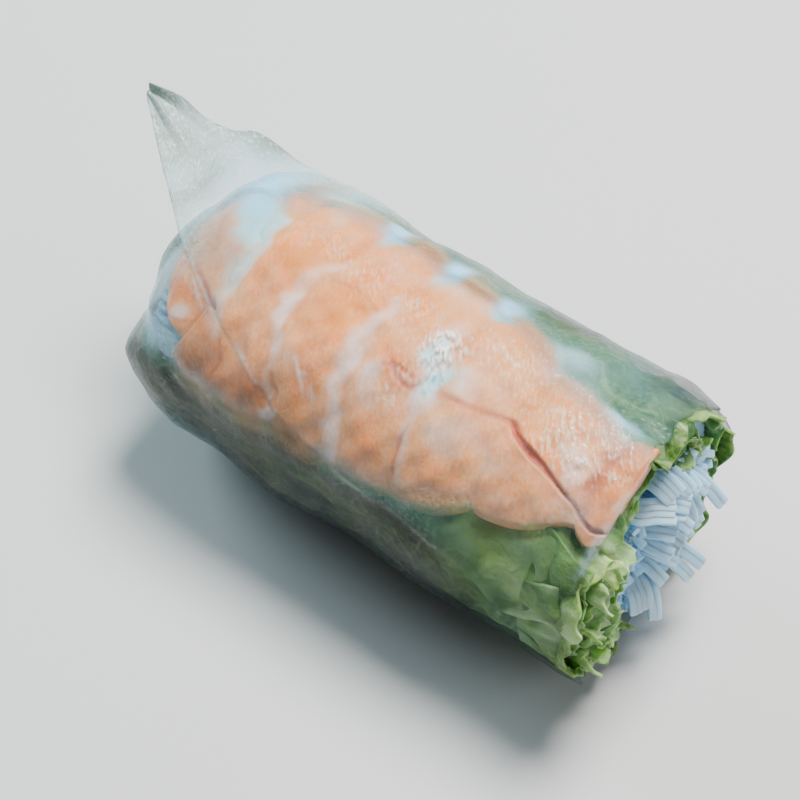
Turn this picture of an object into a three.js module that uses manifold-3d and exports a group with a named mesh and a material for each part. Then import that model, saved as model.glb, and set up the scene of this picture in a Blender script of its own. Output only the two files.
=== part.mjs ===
// Half of a fresh rice paper roll, cut across: soft film round prawns, lettuce and rice vermicelli.
// Millimetres, +Z up. The roll lies along X, its cut end towards +X and its folded end towards -X.
// Angles go round the roll from the back (+Y, 0 degrees) over the top (90) to the front (180).

import * as THREE from 'three';
import { mergeVertices } from 'three/addons/utils/BufferGeometryUtils.js';
import Module from 'manifold-3d';

const wasm = await Module();
wasm.setup();

// Driving dimensions of the roll
const FOLD_X = -36;            // furthest point of the closed end
const FOLD_LEAN_Y = 0.06;      // its front side stands out, mm for each mm of Y
const FOLD_LEAN_Z = 0.14;      // and so does its lower side, mm for each mm of Z
const SHOULDER_X = -21;        // where the closed end starts to round over
const CUT_X = 44.8;            // middle of the cut
const CUT_LEAN_Y = -0.08;      // the cut's front side stands out, mm for each mm of Y
const CUT_LEAN_Z = 0.085;      // and so does its upper side, mm for each mm of Z
const RADIUS_FOLD = 21.5;      // radius at the shoulder
const RADIUS_CUT = 20.7;       // radius at the cut
const SHOULDER_POWER = 2.5;    // 2 is a round shoulder, more is squarer
const SAG = 0.6;               // how far the underside is flattened by its own weight
const FILM = 0.9;              // rice paper, two wet layers
const GAP = 0.45;              // clearance between neighbouring pieces
const CUT_REACH = 6;           // how far a tool solid runs past the cut
const CUT_INSET = 0.2;         // how far the prawn ends inside the film's edge

// Corner of the film that stands out from the folded end
const EAR_TIP = new THREE.Vector3(-48.4, 7.9, 42.2);
const EAR_TIP_WIDTH = 1.6;
const EAR_THICKNESS = 1.1;
const EAR_CROWN = 6.45;        // how far its middle arches up where it leaves the roll
const EAR_RIPPLE = 1.3;        // height of its ripples
const EAR_RIPPLE_TURN = 7;     // radians of ripple from the roll to the tip
const EAR_RIPPLES_ACROSS = 3;  // half waves from edge to edge
const EAR_TAPER = 0.45;        // share of its thickness that it loses towards the tip
// Each edge starts on the roll, at places along and degrees round it, and goes on through points.
const EAR_BACK = { root: [[-12, 40], [-20, 40]], free: [[-31, 15.4, 35.4], [-40, 11.6, 38.2]] };
const EAR_FRONT = { root: [[-12, 132], [-18, 124]], free: [[-27, -7.5, 39.6], [-38, -0.6, 39.4]] };

// Filling
const PRAWN_THICKNESS = 4.6;
const PRAWN_SKIN = 0.6;        // least thickness, at the prawn's sides
const CURL_THICKNESS = 3;      // of the smaller, curled prawn
const CURL_SKIN = 0.8;
const LEAF_THICKNESS = 1.0;
const LEAF_WAVE = 0.45;        // height of the leaf's waves under the film
const NOODLE_RADIUS = 1.0;
const NOODLE_COUNT = 32;
const NOODLE_FACE = { y: 2.6, z: -1.5, halfWidth: 12.4, halfHeight: 13.4 };  // from the axis

// Facets
const WELD = 1e-3;             // corners nearer than this are one
const ROLL_ROUNDS = 48;        // round the film
const CAP_STEPS = 7;           // over the shoulder
const BODY_STEPS = 6;          // from the shoulder to the cut
const EAR_STEPS = [14, 12];    // towards its tip and across it
const PRAWN_STEPS = [28, 10];  // along the roll and round it, as for the curled prawn and leaves
const CURL_STEPS = [5, 10];
const LEAF_STEPS = [25, 11];
const CORE_ROUNDS = 40;
const NOODLE_SIDES = 8;
const NOODLE_STEPS = 6;

const colours = {
  film: 0xd5ded6, prawn: 0xe89a72, leaf: 0x9dbb5b, noodle: 0xdfeaf0,
};

const radians = THREE.MathUtils.degToRad;
const lerp = THREE.MathUtils.lerp;
const clamp = THREE.MathUtils.clamp;
const smooth = THREE.MathUtils.smoothstep;

// Roll surface --------------------------------------------------------------------------------

function bodyRadius(x) {
  const along = clamp((x - SHOULDER_X) / (CUT_X - SHOULDER_X), 0, 1.1);
  return lerp(RADIUS_FOLD, RADIUS_CUT, along);
}

const AXIS_Z = RADIUS_FOLD - SAG;

// The surface at a depth below the outside of the film. For along >= SHOULDER_X it is the X of
// the point, and below that it goes on over the shoulder, down to the closed end's middle.
const CAP_ARC = 0.86 * (SHOULDER_X - FOLD_X + RADIUS_FOLD);

function skin(along, angle, depth) {
  let x = along;
  let radius = bodyRadius(along) - depth;
  if (along < SHOULDER_X) {
    const turn = clamp(1 - (SHOULDER_X - along) / CAP_ARC, 0, 1) * Math.PI / 2;
    x = SHOULDER_X - (SHOULDER_X - FOLD_X - depth) * Math.cos(turn) ** (2 / SHOULDER_POWER);
    radius = (RADIUS_FOLD - depth) * Math.sin(turn) ** (2 / SHOULDER_POWER);
  }
  const y = radius * Math.cos(angle);
  const z = Math.max(AXIS_Z + radius * Math.sin(angle), depth);
  const folded = clamp((SHOULDER_X - x) / (SHOULDER_X - FOLD_X), 0, 1);
  const lean = FOLD_LEAN_Y * y + FOLD_LEAN_Z * (z - AXIS_Z);
  return new THREE.Vector3(x + folded * lean, y, z);
}

function cutX(y, z) {
  return CUT_X + CUT_LEAN_Y * y + CUT_LEAN_Z * (z - AXIS_Z);
}

// Meshes --------------------------------------------------------------------------------------

// Keeps only the positions of a geometry, moves each one and closes the surface.
function shaped(geometry, place) {
  const bare = geometry.index ? geometry.toNonIndexed() : geometry;
  bare.deleteAttribute('normal');
  bare.deleteAttribute('uv');
  const position = bare.attributes.position;
  const point = new THREE.Vector3();
  for (let i = 0; i < position.count; i += 1) {
    point.fromBufferAttribute(position, i);
    position.setXYZ(i, ...place(point).toArray());
  }
  const merged = mergeVertices(bare, WELD);
  const index = [];
  for (let i = 0; i < merged.index.count; i += 3) {
    const [a, b, c] = [0, 1, 2].map((k) => merged.index.getX(i + k));
    if (a !== b && b !== c && c !== a) index.push(a, b, c);
  }
  merged.setIndex(volume(merged.attributes.position, index) < 0 ? index.reverse() : index);
  return merged;
}

function volume(position, index) {
  const [a, b, c] = [new THREE.Vector3(), new THREE.Vector3(), new THREE.Vector3()];
  let total = 0;
  for (let i = 0; i < index.length; i += 3) {
    a.fromBufferAttribute(position, index[i]);
    b.fromBufferAttribute(position, index[i + 1]);
    c.fromBufferAttribute(position, index[i + 2]);
    total += a.dot(b.cross(c)) / 6;
  }
  return total;
}

function solid(geometry) {
  return new wasm.Manifold(new wasm.Mesh({
    numProp: 3,
    vertProperties: new Float32Array(geometry.attributes.position.array),
    triVerts: new Uint32Array(geometry.index.array),
  }));
}

function geometryOf(manifold) {
  const mesh = manifold.getMesh();
  const geometry = new THREE.BufferGeometry();
  geometry.setAttribute('position', new THREE.BufferAttribute(mesh.vertProperties, 3));
  geometry.setIndex(new THREE.BufferAttribute(mesh.triVerts, 1));
  return geometry;
}

// A closed thin solid: surface(u, v, side) gives its two faces, side 1 outside and -1 inside,
// with u and v from 0 to 1. Both faces are split into triangles alike.
function sheet([stepsU, stepsV], surface) {
  const slab = new THREE.BoxGeometry(1, 1, 1, stepsU, stepsV, 1);
  return shaped(slab, (p) => surface(p.x + 0.5, p.y + 0.5, p.z > 0 ? 1 : -1));
}

// Whether a place of a sheet is on its last edge, where u is 1.
const atEnd = (u) => u > 0.999;

// A solid of revolution about the roll's axis at a depth below the film's outside, closed at the
// cut or so far past it. Its lathe profile has radius 1, and 0 at the two ends on the axis.
function sock(depth, overrun) {
  const stations = [];
  for (let i = 0; i <= CAP_STEPS; i += 1) {
    stations.push(SHOULDER_X - CAP_ARC * (1 - i / CAP_STEPS));
  }
  for (let i = 1; i <= BODY_STEPS; i += 1) stations.push(lerp(SHOULDER_X, CUT_X, i / BODY_STEPS));
  const profile = stations.map((along, i) => new THREE.Vector2(i ? 1 : 0, along));
  profile.push(new THREE.Vector2(0, CUT_X + 1));
  return shaped(new THREE.LatheGeometry(profile, ROLL_ROUNDS), (p) => {
    const end = p.y > CUT_X - 0.5;
    const onAxis = Math.hypot(p.x, p.z) < 0.5;
    const angle = Math.atan2(p.x, p.z);
    if (end && onAxis) return new THREE.Vector3(CUT_X + overrun, 0, AXIS_Z);
    if (onAxis) return skin(stations[0], 0, depth);
    const place = skin(Math.min(p.y, CUT_X), angle, depth);
    if (end) place.x = cutX(place.y, place.z) + overrun;
    return place;
  });
}

// Rice paper ----------------------------------------------------------------------------------

// One edge of the ear, from the roll to the back (1) or front (-1) of its tip.
function earEdge({ root, free }, side) {
  return new THREE.CatmullRomCurve3([
    ...root.map(([along, degrees]) => skin(along, radians(degrees), FILM / 2)),
    ...free.map((point) => new THREE.Vector3(...point)),
    EAR_TIP.clone().setY(EAR_TIP.y + side * EAR_TIP_WIDTH / 2),
  ]);
}

// The ear goes on from the film over the shoulder and narrows to its tip.
function ear() {
  const back = earEdge(EAR_BACK, 1);
  const front = earEdge(EAR_FRONT, -1);
  return sheet(EAR_STEPS, (u, v, side) => {
    const place = back.getPointAt(u).lerp(front.getPointAt(u), v);
    const arch = EAR_CROWN * (1 - u) ** 1.3 * 4 * v * (1 - v);
    const wave = Math.sin(u * EAR_RIPPLE_TURN) * Math.sin(v * Math.PI * EAR_RIPPLES_ACROSS);
    const ripple = EAR_RIPPLE * wave * u * (1 - u);
    const thickness = EAR_THICKNESS * (1 - EAR_TAPER * smooth(u, 0.6, 1));
    place.z += arch + ripple + side * thickness / 2;
    return place;
  });
}

function ricePaper() {
  const outside = solid(sock(0, 0));
  const inside = solid(sock(FILM, CUT_REACH));
  return geometryOf(outside.add(solid(ear())).subtract(inside));
}

// Prawns --------------------------------------------------------------------------------------

// The opened prawn that lies along the top: its half width, in degrees round the roll, at
// places along it, and the joints between its segments.
const PRAWN_HEAD_X = -17;
const PRAWN_HEAD_LOBES = 5;    // how far the head end's two sides run on past its middle
const PRAWN_HALF_WIDTHS = [
  [-22, 45], [-16, 54], [-4, 57], [8, 54], [18, 49], [26, 40], [30, 34.5], [34, 30.5], [37, 26.5],
  [40.5, 21.5], [44, 24], [48, 25],
];
const PRAWN_JOINTS = [-27, -17, -6, 5.5, 16, 28, 40.5, 53];
const PRAWN_MIDDLE = 111.3;    // degrees of its middle line

function halfWidth(x) {
  const next = PRAWN_HALF_WIDTHS.findIndex((row) => row[0] >= x);
  if (next <= 0) return PRAWN_HALF_WIDTHS.at(next < 0 ? -1 : 0)[1];
  const [[x0, width0], [x1, width1]] = PRAWN_HALF_WIDTHS.slice(next - 1, next + 1);
  return lerp(width0, width1, (x - x0) / (x1 - x0));
}

// How far into its segment a place is, 0 at a joint and 1 in the segment's middle.
function segmentCrown(x) {
  const next = PRAWN_JOINTS.findIndex((joint) => joint > x);
  if (next <= 0) return 0;
  const share = (x - PRAWN_JOINTS[next - 1]) / (PRAWN_JOINTS[next] - PRAWN_JOINTS[next - 1]);
  return Math.sin(share * Math.PI);
}

const SCALLOP = 3.5;       // degrees that each segment's side stands out
const JOINT_GROOVE = 0.5;  // depth of the groove between segments

function longPrawn() {
  const depthOut = FILM + GAP;
  return sheet(PRAWN_STEPS, (u, v, side) => {
    const across = 2 * v - 1;
    const start = PRAWN_HEAD_X - PRAWN_HEAD_LOBES * across * across;
    const along = lerp(start, CUT_X, u);
    const crown = segmentCrown(along);
    const half = halfWidth(along) + SCALLOP * (crown - 0.5);
    const angle = radians(PRAWN_MIDDLE + across * half);
    const edge = Math.sqrt(Math.max(0, 1 - across * across));
    const tip = smooth(u, 0, 0.12);
    const thickness = PRAWN_SKIN + PRAWN_THICKNESS * lerp(0.18, 1, edge * tip);
    const groove = JOINT_GROOVE * (1 - crown) * edge;
    const place = skin(along, angle, depthOut + groove + (side > 0 ? 0 : thickness));
    if (atEnd(u)) place.x = cutX(place.y, place.z) - CUT_INSET;
    return place;
  });
}

// A smaller curled prawn tucked in at the folded end, over the shoulder.
const CURL_FIRST = 78;
const CURL_LAST = 146;
const CURL_X = -29;

function shortPrawn() {
  const depthOut = FILM + GAP;
  return sheet(CURL_STEPS, (u, v, side) => {
    const degrees = lerp(CURL_FIRST, CURL_LAST, v);
    const across = (degrees - PRAWN_MIDDLE) / halfWidth(PRAWN_HEAD_X);
    const span = Math.sqrt(Math.max(0, 1 - (2 * v - 1) ** 2));
    const last = PRAWN_HEAD_X - PRAWN_HEAD_LOBES * across * across - 2 * GAP;
    const along = lerp(lerp(last - 1.5, CURL_X, span), last, u);
    const angle = radians(degrees);
    const bulge = Math.sin(Math.PI * u) * lerp(0.3, 1, span);
    return skin(along, angle, side > 0 ? depthOut : depthOut + CURL_SKIN + CURL_THICKNESS * bulge);
  });
}

// Lettuce -------------------------------------------------------------------------------------

const OUTER_LEAF_DEPTH = FILM + GAP + LEAF_THICKNESS / 2 + LEAF_WAVE;
const INNER_LEAF_DEPTH = OUTER_LEAF_DEPTH + LEAF_THICKNESS + 2 * LEAF_WAVE + GAP;

const LEAF_START = -34;
const LEAF_MARGIN = 2.8;   // degrees left free between a prawn and the leaf beside it
const LEAF_WANDER = 1.2;   // degrees that the leaf's first edge swings to and fro
// Waves in radians: the edge's for each mm along the roll, the folds' from edge to edge and for
// each mm along it, the swell of the folds' height for each mm, and the frill's from edge to edge
const WANDER_WAVE = 0.55;
const FOLDS_ACROSS = 21;
const FOLDS_ALONG = 0.12;
const SWELL_WAVE = 0.3;
const FRILL_WAVE = 17;

// A leaf lies below the film from one angle to another, and leaves the cut as a frill. Its first
// edge may curl inwards.
function leaf({ depth: level, first, last, phase, reach, frill, curl = 0 }) {
  const shallowest = FILM + GAP + LEAF_THICKNESS / 2;
  return sheet(LEAF_STEPS, (u, v, side) => {
    const rim = skin(CUT_X, radians(lerp(first(CUT_X), last, v)), level);
    const end = cutX(rim.y, rim.z) + reach;
    const along = lerp(LEAF_START, end, u);
    const edge = LEAF_WANDER * Math.sin(along * WANDER_WAVE + phase) * (1 - v);
    const angle = radians(lerp(first(along), last, v) + edge);
    const out = smooth(along, end - reach - 1, end);
    const folds = Math.sin(v * FOLDS_ACROSS + phase + along * FOLDS_ALONG);
    const swell = 0.6 + 0.4 * Math.sin(along * SWELL_WAVE);
    const height = folds * swell * lerp(LEAF_WAVE, frill, out) + frill * 0.5 * out;
    const depth = Math.max(level - height + curl * (1 - v) ** 3, shallowest);
    const place = skin(along, angle, depth - side * LEAF_THICKNESS / 2);
    if (atEnd(u)) place.x += frill * Math.sin(v * FRILL_WAVE + phase);
    return place;
  });
}

// The outer leaves start beside the prawn and go round under the roll.
function prawnEdge(along, side) {
  const x = Math.max(along, PRAWN_HEAD_X);
  return PRAWN_MIDDLE + side * (halfWidth(x) + SCALLOP / 2 + LEAF_MARGIN);
}

const BOTTOM_BACK = -82;
const BOTTOM_FRONT = 268;
const INNER_LAST = 226;
const INNER_CURL = 3;
const besideBack = (x) => prawnEdge(x, -1);
const besideFront = (x) => prawnEdge(x, 1);

const leaves = {
  lettuce_back: leaf({
    depth: OUTER_LEAF_DEPTH, first: besideBack, last: BOTTOM_BACK, phase: 0.4, reach: 1.5, frill: 1.3,
  }),
  lettuce_front: leaf({
    depth: OUTER_LEAF_DEPTH, first: besideFront, last: BOTTOM_FRONT, phase: 2.1, reach: 1.8, frill: 1.2,
  }),
  lettuce_inner: leaf({
    depth: INNER_LEAF_DEPTH, first: besideFront, last: INNER_LAST, phase: 2.6, reach: 3.6, frill: 1,
    curl: INNER_CURL,
  }),
};

// Rice vermicelli -----------------------------------------------------------------------------

// Seeded draw, so that the bundle is the same each time.
let seed = 20;
function draw(low, high) {
  seed = (seed * 1664525 + 1013904223) % 4294967296;
  return lerp(low, high, seed / 4294967296);
}

// How far between two angles, 0 outside and 1 inside, with soft ends.
function between(degrees, low, high, soft) {
  return smooth(degrees, low - soft, low) * (1 - smooth(degrees, high, high + soft));
}

// The bundle's core fills what prawns and leaves leave free. Its surface has shallow ribs.
const CORE_INSET = 1.6;        // how far its last ring lies inside the cut
const CORE_RINGS = [-47, -42, -37, -32, -26, -17, -8, 1, 10, 19, 27, 35, CUT_X - CORE_INSET];
const CORE_MIDDLE_INSET = 0.6; // how far the middle of its end lies inside the cut
const CORE_CAP_DEPTH = 3;      // depth below the closed end, beyond the leaves
const CORE_RIB = 0.6;          // depth of the grooves between its ribs
const CORE_RIBS = 15;
const CORE_TWIST = 0.16;       // radians of rib that they wind for each mm along the roll
const CORE_SOFT = 8;           // degrees over which it sinks under a neighbour

function noodleCore() {
  const leafDepth = OUTER_LEAF_DEPTH + LEAF_WAVE + LEAF_THICKNESS / 2 + GAP;
  const innerDepth = leafDepth + LEAF_THICKNESS + 2 * LEAF_WAVE + GAP;
  const prawnDepth = FILM + GAP + PRAWN_SKIN + PRAWN_THICKNESS + JOINT_GROOVE + GAP;
  const profile = [new THREE.Vector2(0, 0)];
  CORE_RINGS.forEach((along, i) => profile.push(new THREE.Vector2(1, i)));
  profile.push(new THREE.Vector2(0, CORE_RINGS.length - 1));
  return shaped(new THREE.LatheGeometry(profile, CORE_ROUNDS), (p) => {
    const onAxis = Math.hypot(p.x, p.z) < 0.5;
    if (onAxis && p.y > 0.5) return new THREE.Vector3(CUT_X - CORE_MIDDLE_INSET, 0, AXIS_Z);
    if (onAxis) return new THREE.Vector3(FOLD_X + CORE_CAP_DEPTH, 0, AXIS_Z);
    const angle = Math.atan2(p.x, p.z);
    const degrees = (THREE.MathUtils.radToDeg(angle) + 450) % 360 - 90;
    const along = CORE_RINGS[Math.round(p.y)];
    const prawn = between(degrees, prawnEdge(along, -1), prawnEdge(along, 1), CORE_SOFT);
    const inner = between(degrees, besideFront(along), INNER_LAST, CORE_SOFT);
    const curl = INNER_CURL * between(degrees, besideFront(along) - 6, besideFront(along) + 22, 14);
    const ribs = CORE_RIB / 2 * (1 + Math.sin(angle * CORE_RIBS + along * CORE_TWIST));
    const besideLeaf = lerp(leafDepth, innerDepth, inner) + curl;
    const filled = Math.max(lerp(leafDepth, prawnDepth, prawn), besideLeaf);
    const body = smooth(along, LEAF_START - 8, LEAF_START - 3);
    return skin(along, angle, lerp(CORE_CAP_DEPTH, filled, body) + ribs);
  });
}

// A noodle leaves the cut face, bends a little and ends bluntly. It starts inside the core.
const NOODLE_ROOT = 5;
const NOODLE_GATHER = 0.96;    // share of its distance from the roll's middle plane at its root
const NOODLE_LEAN_Y = [-2, 2.4];
const NOODLE_LEAN_Z = [-3.2, 1.4];
const NOODLE_REACH = [4.5, 9];
const NOODLE_REACH_LOSS = 2.5; // how much less the outermost ones reach

function noodle(y, z, reach, lean, radius) {
  const path = new THREE.CatmullRomCurve3([
    new THREE.Vector3(cutX(y, z) - NOODLE_ROOT, y * NOODLE_GATHER, z),
    new THREE.Vector3(cutX(y, z) + 0.4 * reach, y, z).addScaledVector(lean, 0.25),
    new THREE.Vector3(cutX(y, z) + reach, y, z).add(lean),
  ]);
  const ring = new THREE.Shape().absarc(0, 0, radius, 0, 2 * Math.PI, false);
  const tube = new THREE.ExtrudeGeometry(ring, {
    extrudePath: path, steps: NOODLE_STEPS, curveSegments: NOODLE_SIDES / 2, bevelEnabled: false,
  });
  return solid(shaped(tube, (p) => p.clone()));
}

// The noodles' ends are spread evenly over the face by the golden angle. One that would cross
// a leaf or prawn is skipped.
function vermicelli(neighbours) {
  const obstacles = wasm.Manifold.union(neighbours.map(solid));
  let bundle = solid(noodleCore());
  for (let i = 0; i < NOODLE_COUNT; i += 1) {
    const turn = i * Math.PI * (3 - Math.sqrt(5));
    const out = Math.sqrt((i + 0.5) / NOODLE_COUNT);
    const y = NOODLE_FACE.y + NOODLE_FACE.halfWidth * out * Math.cos(turn);
    const z = AXIS_Z + NOODLE_FACE.z + NOODLE_FACE.halfHeight * out * Math.sin(turn);
    const lean = new THREE.Vector3(0, draw(...NOODLE_LEAN_Y), draw(...NOODLE_LEAN_Z));
    const reach = draw(...NOODLE_REACH) - NOODLE_REACH_LOSS * out;
    const clearance = noodle(y, z, reach, lean, NOODLE_RADIUS + GAP);
    if (clearance.intersect(obstacles).isEmpty()) {
      bundle = bundle.add(noodle(y, z, reach, lean, NOODLE_RADIUS));
    }
  }
  return geometryOf(bundle);
}

// Model ---------------------------------------------------------------------------------------

const roll = new THREE.Group();

function add(name, geometry, colour, roughness) {
  const material = new THREE.MeshStandardMaterial({ color: colour, roughness, metalness: 0 });
  const mesh = new THREE.Mesh(geometry, material);
  mesh.name = name;
  roll.add(mesh);
}

const prawn = longPrawn();
add('rice_paper', ricePaper(), colours.film, 0.25);
add('prawn_long', prawn, colours.prawn, 0.4);
add('prawn_short', shortPrawn(), colours.prawn, 0.4);
Object.entries(leaves).forEach(([name, geometry]) => add(name, geometry, colours.leaf, 0.5));
add('vermicelli', vermicelli([prawn, ...Object.values(leaves)]), colours.noodle, 0.35);

// The origin is under the middle of the whole roll, on what it rests on.
const box = new THREE.Box3().setFromObject(roll);
const middle = box.getCenter(new THREE.Vector3());
roll.position.set(-middle.x, -middle.y, -box.min.z);
roll.updateMatrixWorld(true);

export default roll;
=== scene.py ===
"""Half of a fresh rice paper roll: wet film round prawns, lettuce and rice vermicelli.

Shapes are worked out in millimetres, in the roll's own places: along it, in degrees round it from
the back over the top (90) to the front (180), and in depth below the outside of its film.
"""

import bpy
import numpy as np
from bpy.props import FloatProperty, FloatVectorProperty, IntProperty, PointerProperty
from mathutils import Matrix, Vector


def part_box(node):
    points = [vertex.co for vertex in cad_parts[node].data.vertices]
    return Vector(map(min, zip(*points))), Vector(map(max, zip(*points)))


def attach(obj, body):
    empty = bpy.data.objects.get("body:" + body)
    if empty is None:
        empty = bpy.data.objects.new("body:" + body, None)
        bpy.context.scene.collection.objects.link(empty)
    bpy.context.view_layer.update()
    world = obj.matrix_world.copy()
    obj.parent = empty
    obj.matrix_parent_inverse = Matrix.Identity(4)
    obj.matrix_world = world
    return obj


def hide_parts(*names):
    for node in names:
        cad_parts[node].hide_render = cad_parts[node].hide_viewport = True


bl_info = {
    "name": "Rice paper roll",
    "version": (1, 0, 0),
    "blender": (4, 5, 0),
    "location": "View3D > Sidebar > Rice roll",
    "description": "Builds half of a fresh rice paper roll over its packed solids",
    "category": "Add Mesh",
}

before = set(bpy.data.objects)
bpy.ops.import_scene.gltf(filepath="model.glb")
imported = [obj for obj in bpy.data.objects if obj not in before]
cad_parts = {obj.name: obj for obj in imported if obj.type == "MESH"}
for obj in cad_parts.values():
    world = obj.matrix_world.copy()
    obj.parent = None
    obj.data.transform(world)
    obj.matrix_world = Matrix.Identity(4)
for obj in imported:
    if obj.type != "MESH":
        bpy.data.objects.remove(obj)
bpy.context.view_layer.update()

# Measures of the roll, in millimetres, as in its solids
MM = 0.001
FOLD_X, FOLD_LEAN_Y, FOLD_LEAN_Z = -36.0, 0.06, 0.14
SHOULDER_X, SHOULDER_POWER = -21.0, 2.5
CUT_X, CUT_LEAN_Y, CUT_LEAN_Z = 44.8, -0.08, 0.085
RADIUS_FOLD, RADIUS_CUT = 21.5, 20.7
SAG = 0.6
AXIS_Z = RADIUS_FOLD - SAG
CAP_ARC = 0.86 * (SHOULDER_X - FOLD_X + RADIUS_FOLD)
POLE_X = SHOULDER_X - CAP_ARC
EAR_TIP_X = -48.4
SHIFT = np.array((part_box("rice_paper")[0].x / MM - EAR_TIP_X, 0, 0))

# The opened prawn: half its width in degrees, and its joints with how far each bows
PRAWN_HEAD_X, PRAWN_HEAD_LOBES = -17.0, 5.0
PRAWN_X = (-22, -16, -4, 8, 18, 26, 30, 34, 37, 40.5, 44, 48)
PRAWN_HALF = (45, 54, 57, 54, 49, 40, 34.5, 30.5, 26.5, 21.5, 24, 25)
TAIL_X = 40.5
JOINTS = ((-29, 0), (-17, 2), (-6.8, 4.2), (5.2, 2), (15.8, 2.2), (28, 2), (TAIL_X, 1), (53, 0))
CURL_FIRST, CURL_LAST, CURL_X = 78, 146, -29

# The film's outer edge crosses the roll from the ear to the cut
SEAM_X = (-30, -24, -17, -9, -2, 5, 20, 45)
SEAM_DEG = (112, 118, 129, 141, 152, 157, 161, 171)
# Tucks of the film at the closed end: degrees, half width in degrees and height
TUCKS = ((20, 7, 0.5), (62, 5, -0.4), (150, 9, 0.5), (196, 6, -0.5), (228, 8, 0.55),
         (262, 6, -0.4), (305, 9, 0.6), (338, 5, -0.5))

ARC = 0.37           # millimetres of skin in a degree
LOW_FRONT = 185      # degrees, where the front meets the underside
BROAD_SIDE = np.array((0.45, -0.42, 0.80))  # way that noodles' broad sides face


# Settings --------


def length(name, description, millimetres):
    return FloatProperty(
        name=name, description=description, default=millimetres * MM, unit="LENGTH", precision=5
    )


def colour(name, description, *rgb):
    return FloatVectorProperty(
        name=name, description=description, default=rgb, subtype="COLOR", min=0, max=1
    )


class RollSizes(bpy.types.PropertyGroup):
    """Sizes of the roll's film and filling."""

    film_thickness: length("Film", "Thickness of the rice paper", 0.45)
    film_ease: length("Ease", "Room between the film and the filling", 0.06)
    prawn_tile: length("Prawn joints", "How far each segment stands over the next", 0.55)
    leaf_thickness: length("Leaf", "Thickness of a lettuce leaf", 0.4)
    leaf_crumple: length("Crumple", "Height of the leaves' folds", 0.8)
    noodle_radius: length("Noodle", "Half the thickness of a rice noodle", 0.46)
    noodle_tries: IntProperty(
        name="Noodle ends", description="Places tried for noodle ends at the cut",
        default=1500, min=1,
    )


class RollColours(bpy.types.PropertyGroup):
    """Colours of the roll."""

    film: colour("Film", "Milky rice paper", 0.50, 0.72, 0.78)
    film_shade: colour("Film over leaf", "Rice paper stained by the leaf below", 0.07, 0.18, 0.13)
    # Painted shade: the film's darkest colour, laid low on the front where the roll is in shade.
    film_painted_shade: colour("Film below", "Rice paper low on the roll", 0.011, 0.020, 0.016)
    film_blush: colour("Film beside prawn", "Film that prawn shows through", 0.54, 0.28, 0.15)
    film_lime: colour("Film over lobe", "Film over a pale lobe of leaf", 0.21, 0.29, 0.10)
    # Painted sheen: a bright bluish tint that stands for cool light mirrored in the wet film.
    film_painted_sheen: colour("Film sheen", "Bluish milk of folded film", 0.33, 0.69, 1.0)
    flesh: colour("Prawn flesh", "Cooked prawn between its bands", 0.89, 0.36, 0.12)
    orange: colour("Prawn orange", "Orange skin of the cooked prawn", 0.91, 0.225, 0.022)
    pink: colour("Prawn pink", "Flushed flesh", 0.80, 0.29, 0.17)
    beige: colour("Prawn beige", "Duller flesh", 0.70, 0.40, 0.20)
    # Brown skin, also used as painted shade low on the prawn's front side.
    brown_and_shade: colour("Prawn edge", "Darker skin at the prawn's sides", 0.40, 0.12, 0.03)
    white: colour("Prawn white", "White flesh at the joints", 0.84, 0.57, 0.53)
    # Partly the flesh's own pearly white, partly a painted bluish sheen of the wet skin.
    pearl_and_sheen: colour("Prawn pearl", "Bluish white flesh near the head", 0.40, 0.83, 1.0)
    # Painted highlight: the colour of glint strokes on the wet skin.
    painted_glint: colour("Prawn glint", "Bright strokes on the wet skin", 1.0, 0.76, 0.56)
    red: colour("Prawn red", "Red lines of the cooked prawn", 0.42, 0.032, 0.014)
    yellow: colour("Prawn yellow", "Roe seen through the skin", 0.84, 0.245, 0.0)
    leaf_pale: colour("Leaf rib", "Pale ribs and young leaf", 0.38, 0.54, 0.28)
    leaf_green: colour("Leaf", "Lettuce leaf", 0.13, 0.25, 0.08)
    # Darker leaf, also used as painted shade on the leaf low on the front.
    dark_leaf_and_shade: colour("Dark leaf", "Darker, older leaf", 0.025, 0.080, 0.018)
    leaf_yellow: colour("Yellow leaf", "Yellow edge of the leaf", 0.46, 0.62, 0.12)
    noodle: colour("Noodles", "Boiled rice vermicelli", 0.32, 0.63, 0.92)
    floor: colour("Floor", "Plain pale floor", 0.58, 0.58, 0.57)


# Places on the roll --------


def smooth(value, low, high):
    share = np.clip((value - low) / (high - low), 0, 1)
    return share * share * (3 - 2 * share)


def mix(first, second, share):
    return first + (second - first) * share


def skin(along, degrees, depth=0.0):
    """Points on the roll at a depth; past its shoulder it goes on down the closed end."""
    along, degrees, depth = np.broadcast_arrays(np.asarray(along, float), degrees, depth)
    angle = np.radians(degrees)
    turn = np.clip(1 - (SHOULDER_X - along) / CAP_ARC, 0, 1) * np.pi / 2
    power = 2 / SHOULDER_POWER
    closed = along < SHOULDER_X
    body = np.clip((along - SHOULDER_X) / (CUT_X - SHOULDER_X), 0, 1.1)
    body = mix(RADIUS_FOLD, RADIUS_CUT, body) - depth
    radius = np.where(closed, (RADIUS_FOLD - depth) * np.sin(turn) ** power, body)
    fold = SHOULDER_X - (SHOULDER_X - FOLD_X - depth) * np.abs(np.cos(turn)) ** power
    x = np.where(closed, fold, along)
    y = radius * np.cos(angle)
    z = np.maximum(AXIS_Z + radius * np.sin(angle), np.maximum(depth, 0))
    folded = np.clip((SHOULDER_X - x) / (SHOULDER_X - FOLD_X), 0, 1)
    cut = smooth(along, CUT_X - 12, CUT_X)
    x = x + folded * (FOLD_LEAN_Y * y + FOLD_LEAN_Z * (z - AXIS_Z))
    x = x + cut * (CUT_LEAN_Y * y + CUT_LEAN_Z * (z - AXIS_Z))
    return np.stack([x, y, z], -1)


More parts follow.
